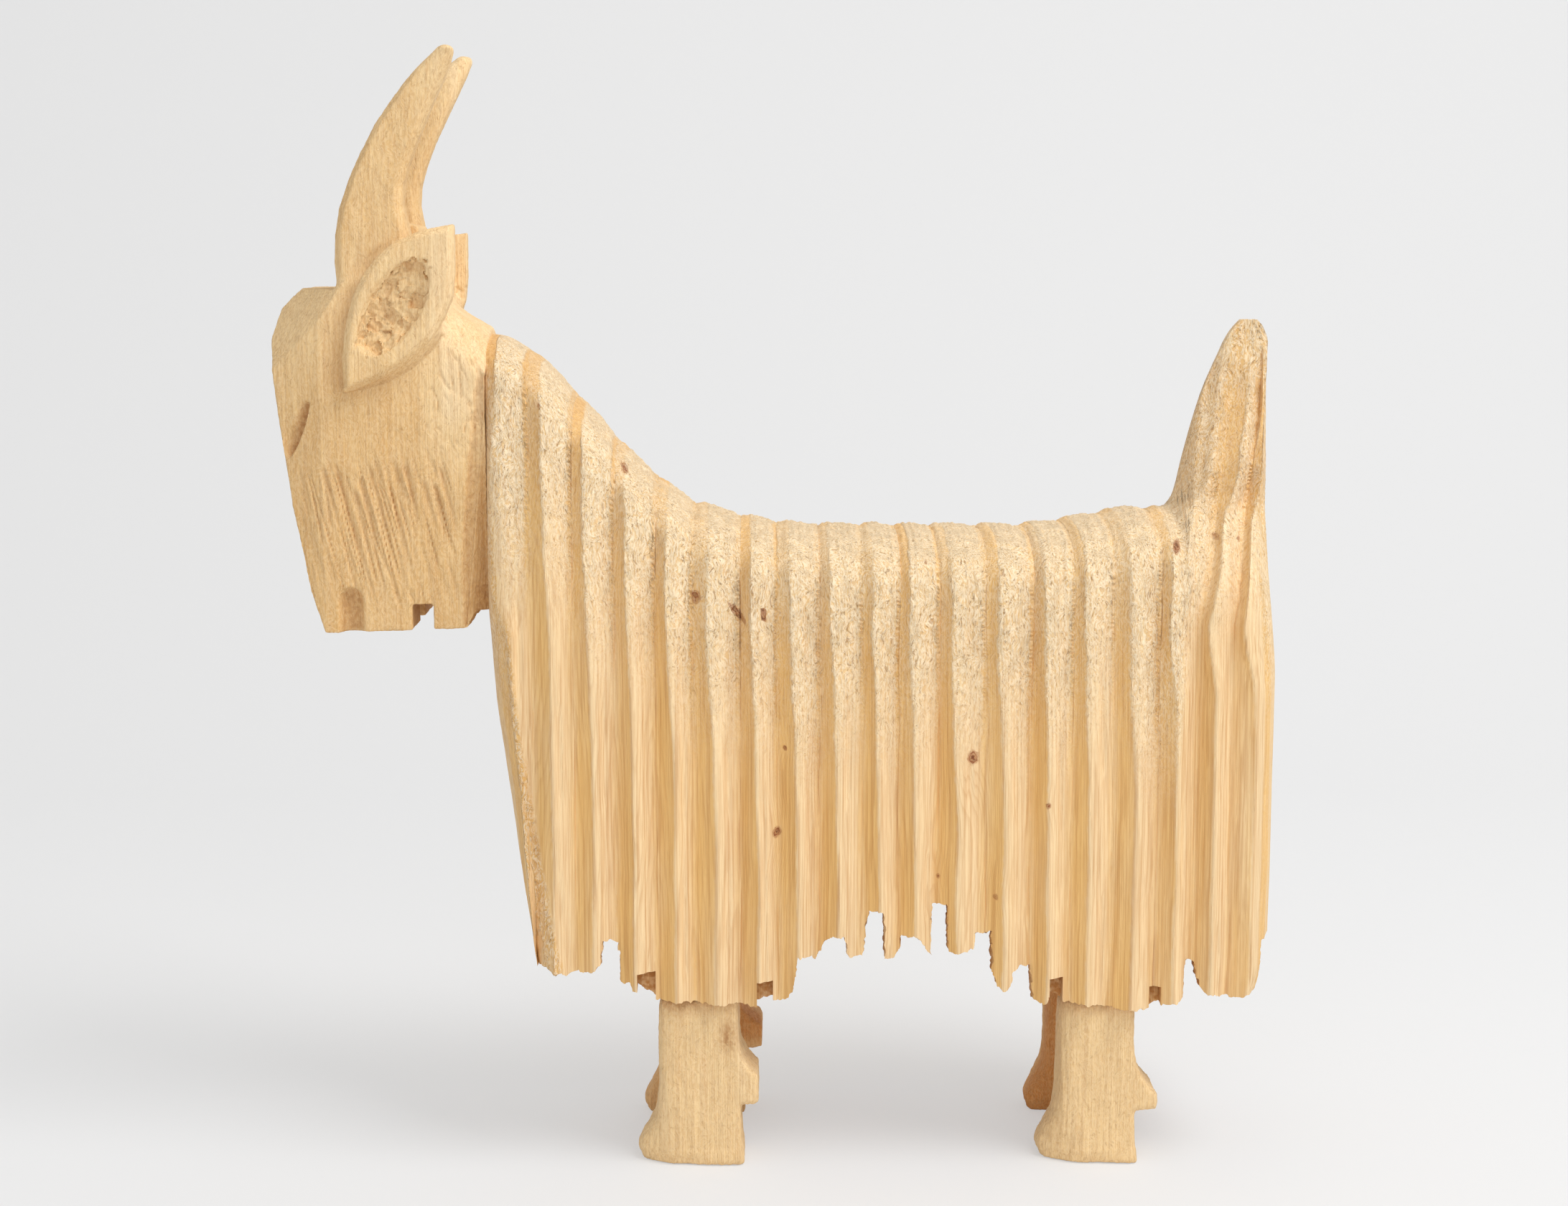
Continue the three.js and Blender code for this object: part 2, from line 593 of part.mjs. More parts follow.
function headCutters(side) {
  const flank = side * headHalfWidth;
  const taperFoot = [faceFront + faceTaperStart, flank, jawHeight];
  const taperTop = [faceFront + faceTaperStart, flank, pollHeight];
  const taperEnd = [faceFront, side * faceHalfWidth, jawHeight];
  const pollLow = [faceFront + pollFacet.low[0], flank, pollHeight - pollFacet.low[1]];
  const pollHigh = [faceFront + pollFacet.high[0], flank, pollHeight - pollFacet.high[1]];
  const pollTop = [faceFront + pollFacet.top[0], side * pollFacet.top[1], pollHeight];
  const reliefFront = [neckPlane - cheekRelief, flank, neckFoot];
  const reliefRear = [neckPlane, side * (headHalfWidth - cheekRelief), neckFoot];
  const reliefTop = [neckPlane, flank, neckFoot + cheekReliefHeight];
  const crownInner = [neckPlane, side * neckCrown.inner, neckHeight];
  const crownMiddle = [neckPlane, side * neckCrown.middle, neckHeight - neckCrown.fall];
  const crownOuter = [neckPlane, flank, neckHeight - neckCrown.drop];
  const crownFront = neckPlane - neckCrown.length;
  const neck = block(crownFront, neckPlane, -bodyHalfWidth, bodyHalfWidth, neckFoot, overallHeight);
  const upNeck = (point) => [point[0] - neckCrown.run, point[1], point[2] + neckCrown.rise];
  const outward = (a, b, c) => {
    const normal = planeThrough(a, b, c);
    return normal.map((part) => part * Math.sign(normal[1]) * side);
  };
  const scoopLength = nostril.rise + nostril.radius;
  const scoopMiddle = jawHeight + (nostril.rise - nostril.radius) / 2;
  const scoop = new THREE.CapsuleGeometry(nostril.radius, scoopLength, 4, 12).rotateX(Math.PI / 2);
  scoop.translate(faceFront + nostril.x, side * (headHalfWidth + nostril.out), scoopMiddle);
  const slit = new THREE.SphereGeometry(1, 12, 8).scale(eye.wide, eye.deep, eye.long);
  slit.rotateY(eye.lean);
  slit.translate(faceFront + eye.x, side * lerp(faceHalfWidth, headHalfWidth, eye.x / faceTaperStart), eye.z);
  return [
    beyond(taperFoot, outward(taperFoot, taperTop, taperEnd)),
    beyond(pollLow, outward(pollLow, pollHigh, pollTop)),
    beyond(reliefFront, outward(reliefFront, reliefRear, reliefTop)),
    beyond(crownInner, outward(crownInner, crownMiddle, upNeck(crownInner))).intersect(neck),
    beyond(crownMiddle, outward(crownMiddle, crownOuter, upNeck(crownMiddle))).intersect(neck),
    solid(scoop),
    solid(slit),
    sideBlock(
      side, faceFront + jawNotch.from, faceFront + jawNotch.to,
      0, headHalfWidth + cutterSpare, jawHeight - cutterSpare, jawHeight + jawNotch.rise,
    ),
  ];
}

function makeHead() {
  const saddle = plank(saddleOutline, -saddleHalfWidth + jointGap, saddleHalfWidth - jointGap);
  let body = plank(headOutline, -headHalfWidth, headHalfWidth).add(saddle);
  body = body.subtract(block(
    faceFront + jawHollow.from, faceFront + jawHollow.to,
    -jawHollow.half, jawHollow.half, jawHeight - cutterSpare, jawHeight + jawHollow.rise,
  ));
  for (const [, side] of sides) {
    for (const cutter of headCutters(side)) body = body.subtract(cutter);
    body = body.subtract(dowel(hornDowel, 'z', hornDowelCentre(side), dowelFit));
    body = body.subtract(dowel(earPeg, 'y', earPegCentre(side), dowelFit));
  }
  for (const { centre } of headDowels) body = body.subtract(dowel(headDowel, 'x', centre, dowelFit));
  return mesh('head', body, yellowPine);
}

// Horns: the second number is the share of the horn's height above its seat
const hornFront = [[45, 0], [45, 0.225], [54, 0.45], [72, 0.68], [95, 0.88], [113, 1]];
const hornRear = [[94, 0], [87, 0.25], [91, 0.44], [105, 0.69], [118, 0.9], [121, 0.985]];
const hornSteps = 10;
const hornCut = 5;
const hornDowelCentre = (side) => [
  faceFront + hornDowel.back, side * (hornOuter - hornBaseThickness / 2), (hornSeatFront + hornSeatRear) / 2,
];

function hornCurve(points, seat) {
  const rise = overallHeight - seat - jointGap;
  return new THREE.SplineCurve(points.map(([x, share]) => (
    new THREE.Vector2(faceFront + x, seat + jointGap + share * rise)
  )));
}

function makeHorns() {
  const front = hornCurve(hornFront, hornSeatFront);
  const rear = hornCurve(hornRear, hornSeatRear);
  return sides.map(([sideName, side]) => {
    const rings = [];
    for (let step = 0; step <= hornSteps; step += 1) {
      const share = step / hornSteps;
      const outer = hornOuter + hornSplay * share * share;
      const inner = outer - lerp(hornBaseThickness, hornTipThickness, share);
      const [y0, y1] = side < 0 ? [-outer, -inner] : [inner, outer];
      rings.push(bladeRing(front.getPoint(share).toArray(), rear.getPoint(share).toArray(), y0, y1, hornCut));
    }
    const slot = earBlank(side, jointGap);
    const body = loft(rings).subtract(slot).subtract(dowel(hornDowel, 'z', hornDowelCentre(side), dowelFit));
    return mesh(`horn_${sideName}`, body, yellowPine);
  });
}

// Ears: a leaf that lies on the side of the head, with a gouged hollow.
// The right one sits lower and further forward.
const rightEarPlace = [-4, -5];
const ear = { front: 50, foot: 493, length: 69, height: 102 };
const earHollow = { x: 82, z: 545, long: 35, wide: 17, deep: 7, lean: 0.58 };
const earPegCentre = (side) => [faceFront + earPeg.back, side * (headHalfWidth - earPeg.sunk), earPeg.height];

function earShape(grow) {
  const at = (u, v, dx, dz) => (
    face(ear.front + u * ear.length + dx * grow, ear.foot + v * ear.height + dz * grow)
  );
  const shape = new THREE.Shape();
  shape.moveTo(...at(0, 0, -1, -2));
  shape.bezierCurveTo(...at(0.26, 0.04, 0, -1), ...at(1, 0.245, 1, -1), ...at(1, 0.72, 1, 0));
  shape.lineTo(...at(1, 1, 1, 1));
  shape.bezierCurveTo(...at(0.38, 0.97, -1, 1), ...at(-0.07, 0.7, -1, 1), ...at(0, 0, -1, -2));
  return shape;
}

function earBlank(side, grow) {
  const outer = headHalfWidth + earThickness + grow;
  const depth = earThickness + earBevel;
  const [y0, y1] = side < 0 ? [-outer, depth - outer] : [outer - depth, outer];
  const seat = [0, side * (headHalfWidth + jointGap - grow), 0];
  const place = side < 0 ? [0, 0] : rightEarPlace;
  return plank(earShape(grow), y0, y1, earBevel)
    .subtract(beyond(seat, [0, -side, 0]))
    .translate([place[0], 0, place[1]]);
}

function makeEars() {
  return sides.map(([sideName, side]) => {
    const bowl = new THREE.SphereGeometry(1, 16, 10).scale(earHollow.wide, earHollow.deep, earHollow.long);
    bowl.rotateY(earHollow.lean);
    const place = side < 0 ? [0, 0] : rightEarPlace;
    bowl.translate(
      faceFront + earHollow.x + place[0],
      side * (headHalfWidth + earThickness + 1),
      earHollow.z + place[1],
    );
    const body = earBlank(side, 0)
      .subtract(solid(bowl))
      .subtract(dowel(earPeg, 'y', earPegCentre(side), dowelFit));
    return mesh(`ear_${sideName}`, body, yellowPine);
  });
}

// Dowels and pegs
function makeDowels() {
  const rods = [
    ...staveDowels.map(({ name, centre }) => mesh(name, dowel(staveDowel, 'x', centre), beech)),
    ...headDowels.map(({ name, centre }) => mesh(name, dowel(headDowel, 'x', centre), beech)),
    ...legs.map((leg) => mesh(`${leg.name}_dowel`, dowel(legDowel, 'z', legDowelCentre(leg)), beech)),
  ];
  for (const [sideName, side] of sides) {
    rods.push(mesh(`horn_dowel_${sideName}`, dowel(hornDowel, 'z', hornDowelCentre(side)), beech));
    rods.push(mesh(`ear_peg_${sideName}`, dowel(earPeg, 'y', earPegCentre(side)), beech));
  }
  return rods;
}

const goat = new THREE.Group();
goat.add(...makeStaves(), makeHead(), ...makeHorns(), ...makeEars(), ...makeLegs(), ...makeDowels());

export default goat;
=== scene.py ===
"""A carved pine goat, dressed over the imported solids: gouged fleece, plain head, horns, ears and legs.

Shapes are worked out in millimetres in the row frame: the goat faces -X, its left side is -Y and +Z is up.
"""

import bmesh
import bpy
import numpy as np
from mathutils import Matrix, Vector


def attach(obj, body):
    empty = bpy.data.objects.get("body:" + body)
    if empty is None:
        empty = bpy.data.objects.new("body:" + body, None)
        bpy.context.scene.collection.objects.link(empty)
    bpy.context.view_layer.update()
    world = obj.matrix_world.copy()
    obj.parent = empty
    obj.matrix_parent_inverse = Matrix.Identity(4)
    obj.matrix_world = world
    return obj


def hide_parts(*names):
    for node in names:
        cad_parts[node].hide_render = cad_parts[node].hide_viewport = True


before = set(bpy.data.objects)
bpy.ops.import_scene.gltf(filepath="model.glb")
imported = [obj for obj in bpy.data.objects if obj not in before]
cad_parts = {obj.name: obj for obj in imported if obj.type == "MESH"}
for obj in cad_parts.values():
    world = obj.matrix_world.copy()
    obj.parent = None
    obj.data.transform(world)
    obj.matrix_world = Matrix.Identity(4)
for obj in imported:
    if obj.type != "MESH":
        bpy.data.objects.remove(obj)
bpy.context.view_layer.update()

MM = 0.001
COARSE = 1.0

# Fineness of the meshes
COLUMN_STEP, ROW_STEP, CROWN_ROWS, CAP_COLUMNS = 0.85 * COARSE, 1.3 * COARSE, 32, 96
HEM_STEP = 1.1 * COARSE
HEAD_VOXEL, LEG_VOXEL = 0.85, 1.2
FLEECE_ANGLE, PLAIN_ANGLE = 48, 60

# Sizes of the solids, and of the carving that follows them
FACE_FRONT = -315.0
NECK_PLANE = -180.0
RUMP = 315.0
RIDGE_WIDTHS = [32, 22, 26, 25, 23.5, 29, 23.5, 26, 27, 22, 25, 29, 29, 25, 26, 28, 24, 22, 31]
STAVE_RIDGES = [2, 2, 2, 2, 2, 2, 2, 2, 3]
STAVES = len(STAVE_RIDGES)
RIDGES = len(RIDGE_WIDTHS)
EDGES = NECK_PLANE + np.concatenate([[0.0], np.cumsum(RIDGE_WIDTHS)])
HEM_FLOOR = 104.0
NECK_FOOT = 356.0
NECK_HEIGHT = 530.0
SADDLE = 404.0
TAIL_ROOT = 418.0
TAIL_TIP = 536.0
BODY_HALF = 76.0
NECK_HALF = 52.0
CREST_HALF = 4.0
CROWN = 30.0
TAIL_CROWN = 90.0
END_RIDGE = 27.0
END_DEPTH = 6.5
RUMP_CARVED = 500.0
CROWN_POWER = 2.3
GROOVE_DEPTH = 8.0
CREST_LOW = 0.45
CREST_HIGH = 0.27
NECK_SEAM = 46.0
HEAD_HALF = 48.0
HEAD_SKIN = HEAD_HALF + 0.7
EAR_TOP = 598.0
FACE_HALF = 36.0
FACE_TAPER = 34.0
EAR_FACE = 60.0
JOINT_INSIDE = (80.0, 34.0, 545.0)
JOINT_LIP = 2.5
HORN_TIP = 700.0


# Small maths
def rise(x, low, high):
    """0 below low, 1 above high, and a soft step between them."""
    t = np.clip((x - low) / (high - low), 0, 1)
    return t * t * (3 - 2 * t)


def fade(x, low, high):
    return 1 - rise(x, low, high)


def lerp(a, b, t):
    return a + (b - a) * t


def profile(points):
    """A smooth line through (place, value) points, level beyond its ends."""
    place, value = np.array(points, float).T
    grade = np.diff(value) / np.diff(place)
    before = np.concatenate([grade[:1], grade])
    after = np.concatenate([grade, grade[-1:]])
    both = before * after
    slope = np.where(both > 0, 2 * both / np.where(both > 0, before + after, 1), 0)

    def at(x):
        x = np.clip(x, place[0], place[-1])
        i = np.clip(np.searchsorted(place, x, side="right") - 1, 0, len(grade) - 1)
        step = place[i + 1] - place[i]
        u = (x - place[i]) / step
        climb = value[i + 1] - value[i]
        start = slope[i] * step - climb
        end = climb - slope[i + 1] * step
        return value[i] + climb * u + u * (1 - u) * (start * (1 - u) + end * u)

    return at


chance = np.random.default_rng(20)
LATTICE = np.tile(chance.permutation(256), 3)
SLOPES = chance.normal(size=(256, 3))
SLOPES /= np.linalg.norm(SLOPES, axis=1)[:, None]


def noise(x, y, z, seed=0):
    """Smooth noise from about -1 to 1, with a lattice cell per unit."""
    p = np.stack(np.broadcast_arrays(x, y, z), -1) + seed * 13.37
    cell = np.floor(p).astype(int)
    f = p - cell
    w = f * f * f * (f * (f * 6 - 15) + 10)
    total = 0
    for corner in np.ndindex(2, 2, 2):
        i, j, k = np.moveaxis((cell + corner) & 255, -1, 0)
        slope = SLOPES[LATTICE[LATTICE[LATTICE[i] + j] + k]]
        share = np.prod(np.where(corner, w, 1 - w), -1)
        total = total + share * np.sum((f - corner) * slope, -1)
    return 1.6 * total


def chips(x, z):
    """Depth, from about 0 to 1, of flat torn chips, each with its own level and tilt."""
    p = np.stack([x, z], -1)
    cell = np.floor(p).astype(int)
    best = np.full(len(p), 9.0)
    depth = np.zeros(len(p))
    for corner in np.ndindex(3, 3):
        near = cell + np.array(corner) - 1
        slope = SLOPES[LATTICE[LATTICE[near[:, 0] & 255] + (near[:, 1] & 255)]]
        off = p - near - 0.5 - 0.42 * slope[:, :2]
        far = np.linalg.norm(off, axis=-1)
        level = 0.5 + 0.5 * slope[:, 2] + 0.7 * np.sum(off * slope[:, :2], -1)
        depth = np.where(far < best, level, depth)
        best = np.minimum(best, far)
    return depth


# Body surface
back_height = profile([
    (NECK_PLANE, NECK_HEIGHT), (NECK_PLANE + 26, 516), (NECK_PLANE + 61, 481), (NECK_PLANE + 97, 443),
    (NECK_PLANE + 133, 418), (NECK_PLANE + 202, SADDLE + 1), (NECK_PLANE + 329, SADDLE),
    (RUMP - 66, TAIL_ROOT - 1), (RUMP, TAIL_ROOT),
])
chest_set = profile([(127, 31), (187, 20), (259, 9), (306, 3), (NECK_FOOT, 0)])
rump_set = profile([
    (HEM_FLOOR, 6), (133, 0), (310, 0), (381, 5),
    (TAIL_ROOT, 5), (493, 4), (522, 3), (531, 6), (TAIL_TIP, 10),
])
tail_front = profile([
    (TAIL_ROOT - 1, 66), (TAIL_ROOT, 63), (452, 54), (489, 44), (511, 35), (529, 26), (TAIL_TIP, 20),
])
tail_half = profile([(364, 60), (400, 47), (TAIL_ROOT, 39), (445, 31), (TAIL_TIP, 12)])
groove_lean = {
    1: profile([(300, -3), (420, -4.5), (500, -6)]),
    RIDGES - 2: profile([(350, 0), (402, 12), (454, 20.5), (500, 29), (528, 33), (TAIL_TIP, 33)]),
    RIDGES - 1: profile([(350, 0), (405, 9), (450, 18), (490, 24.5), (522, 25), (TAIL_TIP, 18)]),
}
ridge_depth = 1 + 0.2 * chance.uniform(-1, 1, RIDGES + 1)
ridge_crest = 0.05 * chance.uniform(-1, 1, RIDGES)


def chest_front(z):
    return NECK_PLANE + chest_set(z)


def rump_rear(z):
    return RUMP - rump_set(z)


def ridge_edge(i, z, side):
    """Where the bottom of a groove runs, with the wander of a hand-held gouge."""
    if i == 0:
        return chest_front(z)
    if i == RIDGES:
        return rump_rear(z)
    calm = 1 - 0.7 * rise(z, SADDLE, TAIL_ROOT)
    wander = 1.1 * noise(i * 3.7, side * 9.1, z / 95, 1) + 0.45 * noise(i * 5.3, side * 3.3, z / 24, 2)
    lean = groove_lean[i](z) if i in groove_lean else 0
    return EDGES[i] + calm * wander + lean


def corner_cut(inset, radius):
    left = radius - np.clip(inset, 0, radius)
    return radius - np.sqrt(radius * radius - left * left)


def half_width(x, z, top, crown):
    """Half the body's width at its crest line, without the grooves."""
    wall = lerp(BODY_HALF, NECK_HALF, rise(z, SADDLE - 60, NECK_HEIGHT))
    tail = lerp(BODY_HALF, tail_half(z), rise(z, 352, 430))
    in_tail = np.maximum(rise(x, 238, 270), rise(x, 226, 250) * rise(z, 398, 424))
    wall = lerp(wall, tail, in_tail)
    under = np.clip((top - z) / crown, 0, 1)
    wedge = in_tail * rise(z, 400, 424)
    arch = (1 - (1 - under) ** lerp(CROWN_POWER, 1, wedge)) ** lerp(1 / CROWN_POWER, 1, wedge)
    rump_radius = lerp(30, 9, in_tail * rise(z, 380, 440))
    chest_share = np.clip((wall - NECK_SEAM) / 32, 0, 1)
    chest_radius = lerp(7, 32, rise(z, 140, 260))
    corners = chest_share * corner_cut(x - chest_front(z), chest_radius)
    corners = corners + corner_cut(rump_rear(z) - x, rump_radius)
    return np.maximum(CREST_HALF, CREST_HALF + (wall - CREST_HALF - corners) * arch)


def groove_at(z, top):
    return GROOVE_DEPTH * lerp(0.6, 1, rise(top - z, 0, 60))


def crest_at(ridge, z, side, top):
    """Place of a ridge's crest between its two grooves."""
    share = lerp(CREST_HIGH, CREST_LOW, rise(top - z, 50, 190))
    share = share + ridge_crest[ridge] + 0.05 * noise(ridge * 4.1, side * 2.7, z / 48, 12)
    on_rump = (ridge > RIDGES - 4) * rise(z, 300, 350) * fade(z, 410, 440)
    share = lerp(share, 0.17, on_rump)
    share = lerp(share, 0.5, (ridge > RIDGES - 3) * rise(z, 410, 440))
    nape = lerp(0.03, 0.27, rise(z, 400, 515)) + 0.02 * noise(ridge * 4.1, side * 2.7, z / 30, 12)
    on_neck = (ridge == 0) * rise(z, NECK_FOOT - 20, NECK_FOOT + 30)
    return np.maximum(lerp(share, nape, on_neck), 0.02)


def ridge_fall(u, crest, ridge, z):
    """How far below its crest a ridge lies: 1 in the grooves beside it."""
    flank = 1 - (np.minimum(u, crest) / crest) ** 1.2
    flank = np.where(ridge == 0, flank * lerp(1, 0.45, rise(z, NECK_FOOT - 30, NECK_FOOT + 20)), flank)
    return np.where(u < crest, flank, rise(u, crest, 1.0))


def flank_share(x, z, side, u, crest, ridge, top):
    """How tan the wood is, partly its own colour and partly painted shade: 1 on the left flank of a ridge,
    which faces away from the light, 0 on its crest and right slope, and tan again in the shaded bottom of
    each groove.
    """
    low = rise(top - z, 60, 170)
    tear = 0.045 * noise(x / 2.6, ridge * 1.3, z / 5.5, 13) + 0.02 * noise(x / 1.2, ridge * 1.3, z / 2.2, 14)
    place = u + lerp(1, 0.45, low) * tear
    bottom = lerp(0.85, 0.6, low)
    flank = lerp(bottom, 1, rise(place, 0, lerp(0.06, 0.16, low))) * fade(place / crest, 0.84, 1.0)
    share = np.maximum(flank, bottom * rise(place, lerp(0.87, 0.76, low), lerp(0.93, 1.0, low)))
    kept = rise(noise(ridge * 1.83, side * 2.3, 0.5, 24), -0.35, 0.3)
    near_back = lerp(0.95, 0.85, rise(x, -110, -10)) * np.where(ridge == 1, 1, lerp(0.5, 1.1, kept))
    share = share * lerp(near_back, 1, rise(top - z, 5, 75))
    share = share * (0.9 + 0.3 * noise(ridge * 2.9, side * 4.7, z / 80, 17))
    return share * (1 - (ridge > RIDGES - 4) * (0.3 * fade(z, 380, 420) + 0.65 * rise(z, 470, 525)))


def roughness_zone(z, top, x):
    """1 where the gouge tore the grain, near the back, and 0 on the clean lower fleece."""
    edge = 96 + 34 * noise(x / 31, 0, 0, 5) + 40 * rise(x, 190, 260)
    return fade(top - z, edge - 50, edge + 75)


def chest_tear(x, z):
    """1 along the torn front corner of the chest."""
    ragged = x - chest_front(z) + 1.6 * noise(x / 3, 0, z / 7, 19)
    return fade(ragged, 13, 17) * fade(z, NECK_FOOT - 20, NECK_FOOT + 10)


def fleece_detail(x, z, side, u, flank, ridge, top):
    """Gouge marks and torn grain, in millimetres outwards."""
    torn = roughness_zone(z, top, x)
    swirl = 2.2 * noise(x / 13, side, z / 17, 11)
    waves = 0.6 * noise(x / 26, side * 7, z / 60, 3)
    facets = 0.4 * noise(x / 6.5, side * 5, z / 34, 4)
    tufts = noise((x + swirl) / 1.6, side * 3, (z + 0.5 * x + 2 * swirl) / 6.4, 6)
    clumps = noise((x - swirl) / 4.2, side * 4, (z - 0.4 * x) / 13, 7)
    scores = np.maximum(0, noise(x / 2.3, side * 6, z / 70, 8) - 0.35)
    teeth = rise(u, 0.82, 0.95) * fade(u, 0.97, 1.0)
    ticks = teeth * np.sin(2 * np.pi * (z + 1.5 * swirl) / 3.0)
    furry = np.maximum(torn * (1 - 0.75 * flank), chest_tear(x, z))
    line = np.abs(u - 0.68 - 0.12 * noise(ridge * 2.3, side * 8, z / 130, 15))
    second = fade(line, 0.02, 0.1) * rise(noise(ridge * 3.1, side * 5, z / 75, 16), 0.05, 0.4)
    rough = furry * (0.75 * tufts + 0.4 * clumps) + 0.8 * torn * ticks
    flutes = 0.2 * noise(x / 1.9, side * 9, z / 110, 18)
    clean = (1 - torn) * (0.12 * tufts + flutes - 0.8 * scores)
    return waves + facets + rough + clean - 1.5 * second


def adjust(thing, **settings):
    for key, value in settings.items():
        setattr(thing, key, value)
    return thing


def new_object(name, data):
    made = bpy.data.objects.new(name, data)
    bpy.context.scene.collection.objects.link(made)
    return made


def mesh_object(name, points, faces):
    """A new object from points in millimetres."""
    data = bpy.data.meshes.new(name)
    data.from_pydata((np.asarray(points, float) * MM).tolist(), [], faces)
    data.validate()
    data.update()
    return new_object(name, data)


def grid_faces(index):
    """Quads over a grid of point numbers."""
    a, b, c, d = index[:-1, :-1], index[1:, :-1], index[1:, 1:], index[:-1, 1:]
    return np.stack([a, b, c, d], -1).reshape(-1, 4).tolist()


def stave_columns(first, last):
    """The ridge number of each column of points, and its place across that ridge."""
    ridge, place = [], []
    for r in range(first, last):
        count = int(RIDGE_WIDTHS[r] / COLUMN_STEP)
        u = np.arange(count) / count
        if r == 0:
            u = 1 - np.cos(u * np.pi / 2)
        if r == RIDGES - 1:
            u = np.sin(u * np.pi / 2)
        ridge += [r] * count
        place += u.tolist()
    return np.array(ridge + [last - 1]), np.array(place + [1.0])


def column_tops(ridge, u):
    """Height of the back, or of the tail's edge, over each column."""
    edges = EDGES.copy()
    edges[1] += groove_lean[1](NECK_HEIGHT)
    tops = back_height(lerp(edges[ridge], edges[ridge + 1], u))
    heights = np.linspace(TAIL_ROOT - 1, TAIL_TIP, 500)
    for c in np.flatnonzero(ridge >= RIDGES - 3):
        r = ridge[c]
        left = EDGES[r] + (groove_lean[r](heights) if r in groove_lean else 0)
        right = rump_rear(heights) if r == RIDGES - 1 else EDGES[r + 1] + groove_lean[r + 1](heights)
        inside = lerp(left, right, u[c]) > RUMP - tail_front(heights)
        if inside[0]:
            tops[c] = heights[-1] if inside.all() else heights[np.argmin(inside)]
    return tops


def tail_crown(x):
    """Height of the rounding under the top edge, which is more on the tail."""
    return lerp(CROWN, TAIL_CROWN, rise(x, 238, 262))


def skin(ridge, u, tops, side):
    """Points of one side of a stave, in columns from the top down."""
    crown = tail_crown(lerp(EDGES[ridge], EDGES[ridge + 1], u))[:, None]
    crown_rows = int(CROWN_ROWS / COARSE)
    low_rows = int((tops.max() - CROWN - HEM_FLOOR) / ROW_STEP)
    arc = (np.arange(crown_rows) / crown_rows) ** CROWN_POWER
    down = np.arange(low_rows + 1) / low_rows
    column = ridge[:, None]
    u = u[:, None]
    top = tops[:, None]
    rest = ridge_fall(u, CREST_HIGH + ridge_crest[column], column, top)
    fray = 0.7 * noise(top / 9, u * 9, column * 2.1, 10) + 0.4 * noise(column * 2.7, 0.5, 0, 27)
    dent = 1.5 * rest ** 4 - fray
    top = top - dent * (1 - 0.8 * rise(top, TAIL_ROOT + 40, TAIL_TIP))
    if ridge[0] == 0:
        top = top - 2.5 * (column == 0) * fade(u, 0, 0.4)
    z = np.concatenate([top - crown * arc, lerp(top - crown, HEM_FLOOR, down)], 1)
    first, last = ridge.min(), ridge.max()
    edges = [ridge_edge(i, z, side) for i in range(first, last + 2)]
    which = column - first
    left, right = np.choose(which, edges[:-1]), np.choose(which, edges[1:])
    x = lerp(left, right, u)
    crest = crest_at(column, z, side, top)
    fall = ridge_fall(u, crest, column, z)
    depth = groove_at(z, top) * lerp(ridge_depth[column], ridge_depth[column + 1], u)
    depth = depth * (1 + 0.16 * noise(column * 2.9, side * 4, z / 55, 9))
    if last == RIDGES - 1:
        depth = depth * lerp(1, 0.6, rise(z, 400, 470)) * fade(z, TAIL_TIP - 48, TAIL_TIP - 8)
        depth = depth * rise(right - left, 1, 12)
    flank = flank_share(x, z, side, u, crest, column, top)
    detail = fleece_detail(x, z, side, u, flank, column, top) * rise(top - z, 0, 5)
    half = np.maximum(half_width(x, z, top, crown) - depth * fall + detail, CREST_HALF / 2)
    splinters = noise(x / 1.9, side * half / 7, z / 4, 26) + 0.6 * noise(x / 4, side * half / 12, z / 9, 28)
    near_top = fade(top - z, 0, 14) * (1 - 0.7 * rise(top, TAIL_ROOT + 40, TAIL_TIP))
    return np.stack([x, side * half, z + 0.8 * near_top * splinters], -1)


def end_ridges(y, z):
    """Place across an end face, counted in ridges, with a crest at each whole number."""
    return y / END_RIDGE + 0.1 * noise(y / 40, z / 90, 4, 23) + 0.04 * noise(y / 20, z / 26, 4, 25)


def end_cap(near, far, out, carved_below):
    """The carved front of the chest or back of the rump, between the two sides' last columns."""
    count = int(CAP_COLUMNS / COARSE)
    v = (np.arange(1, count) / count)[:, None, None]
    cap = lerp(near[None], far[None], v)
    y, z = cap[..., 1], cap[..., 2]
    wide = lerp(np.abs(near[:, 1]), np.abs(far[:, 1]), v[..., 0])
    share = np.clip(np.abs(y) / wide, 0, 1)
    fall = np.abs(np.sin(np.pi * end_ridges(y, z)))
    depth = END_DEPTH * rise(wide, 8, 34) * fade(z, carved_below - 40, carved_below)
    rough = 0.6 * noise(y / 6, z / 30, 0, 21) + 0.3 * noise(y / 2, z / 7, 5, 22)
    live = rise(carved_below - z, 0, 6) * rise(1 - share, 0, 0.1)
    cap[..., 0] -= out * live * (depth * fall - rough)
    return cap


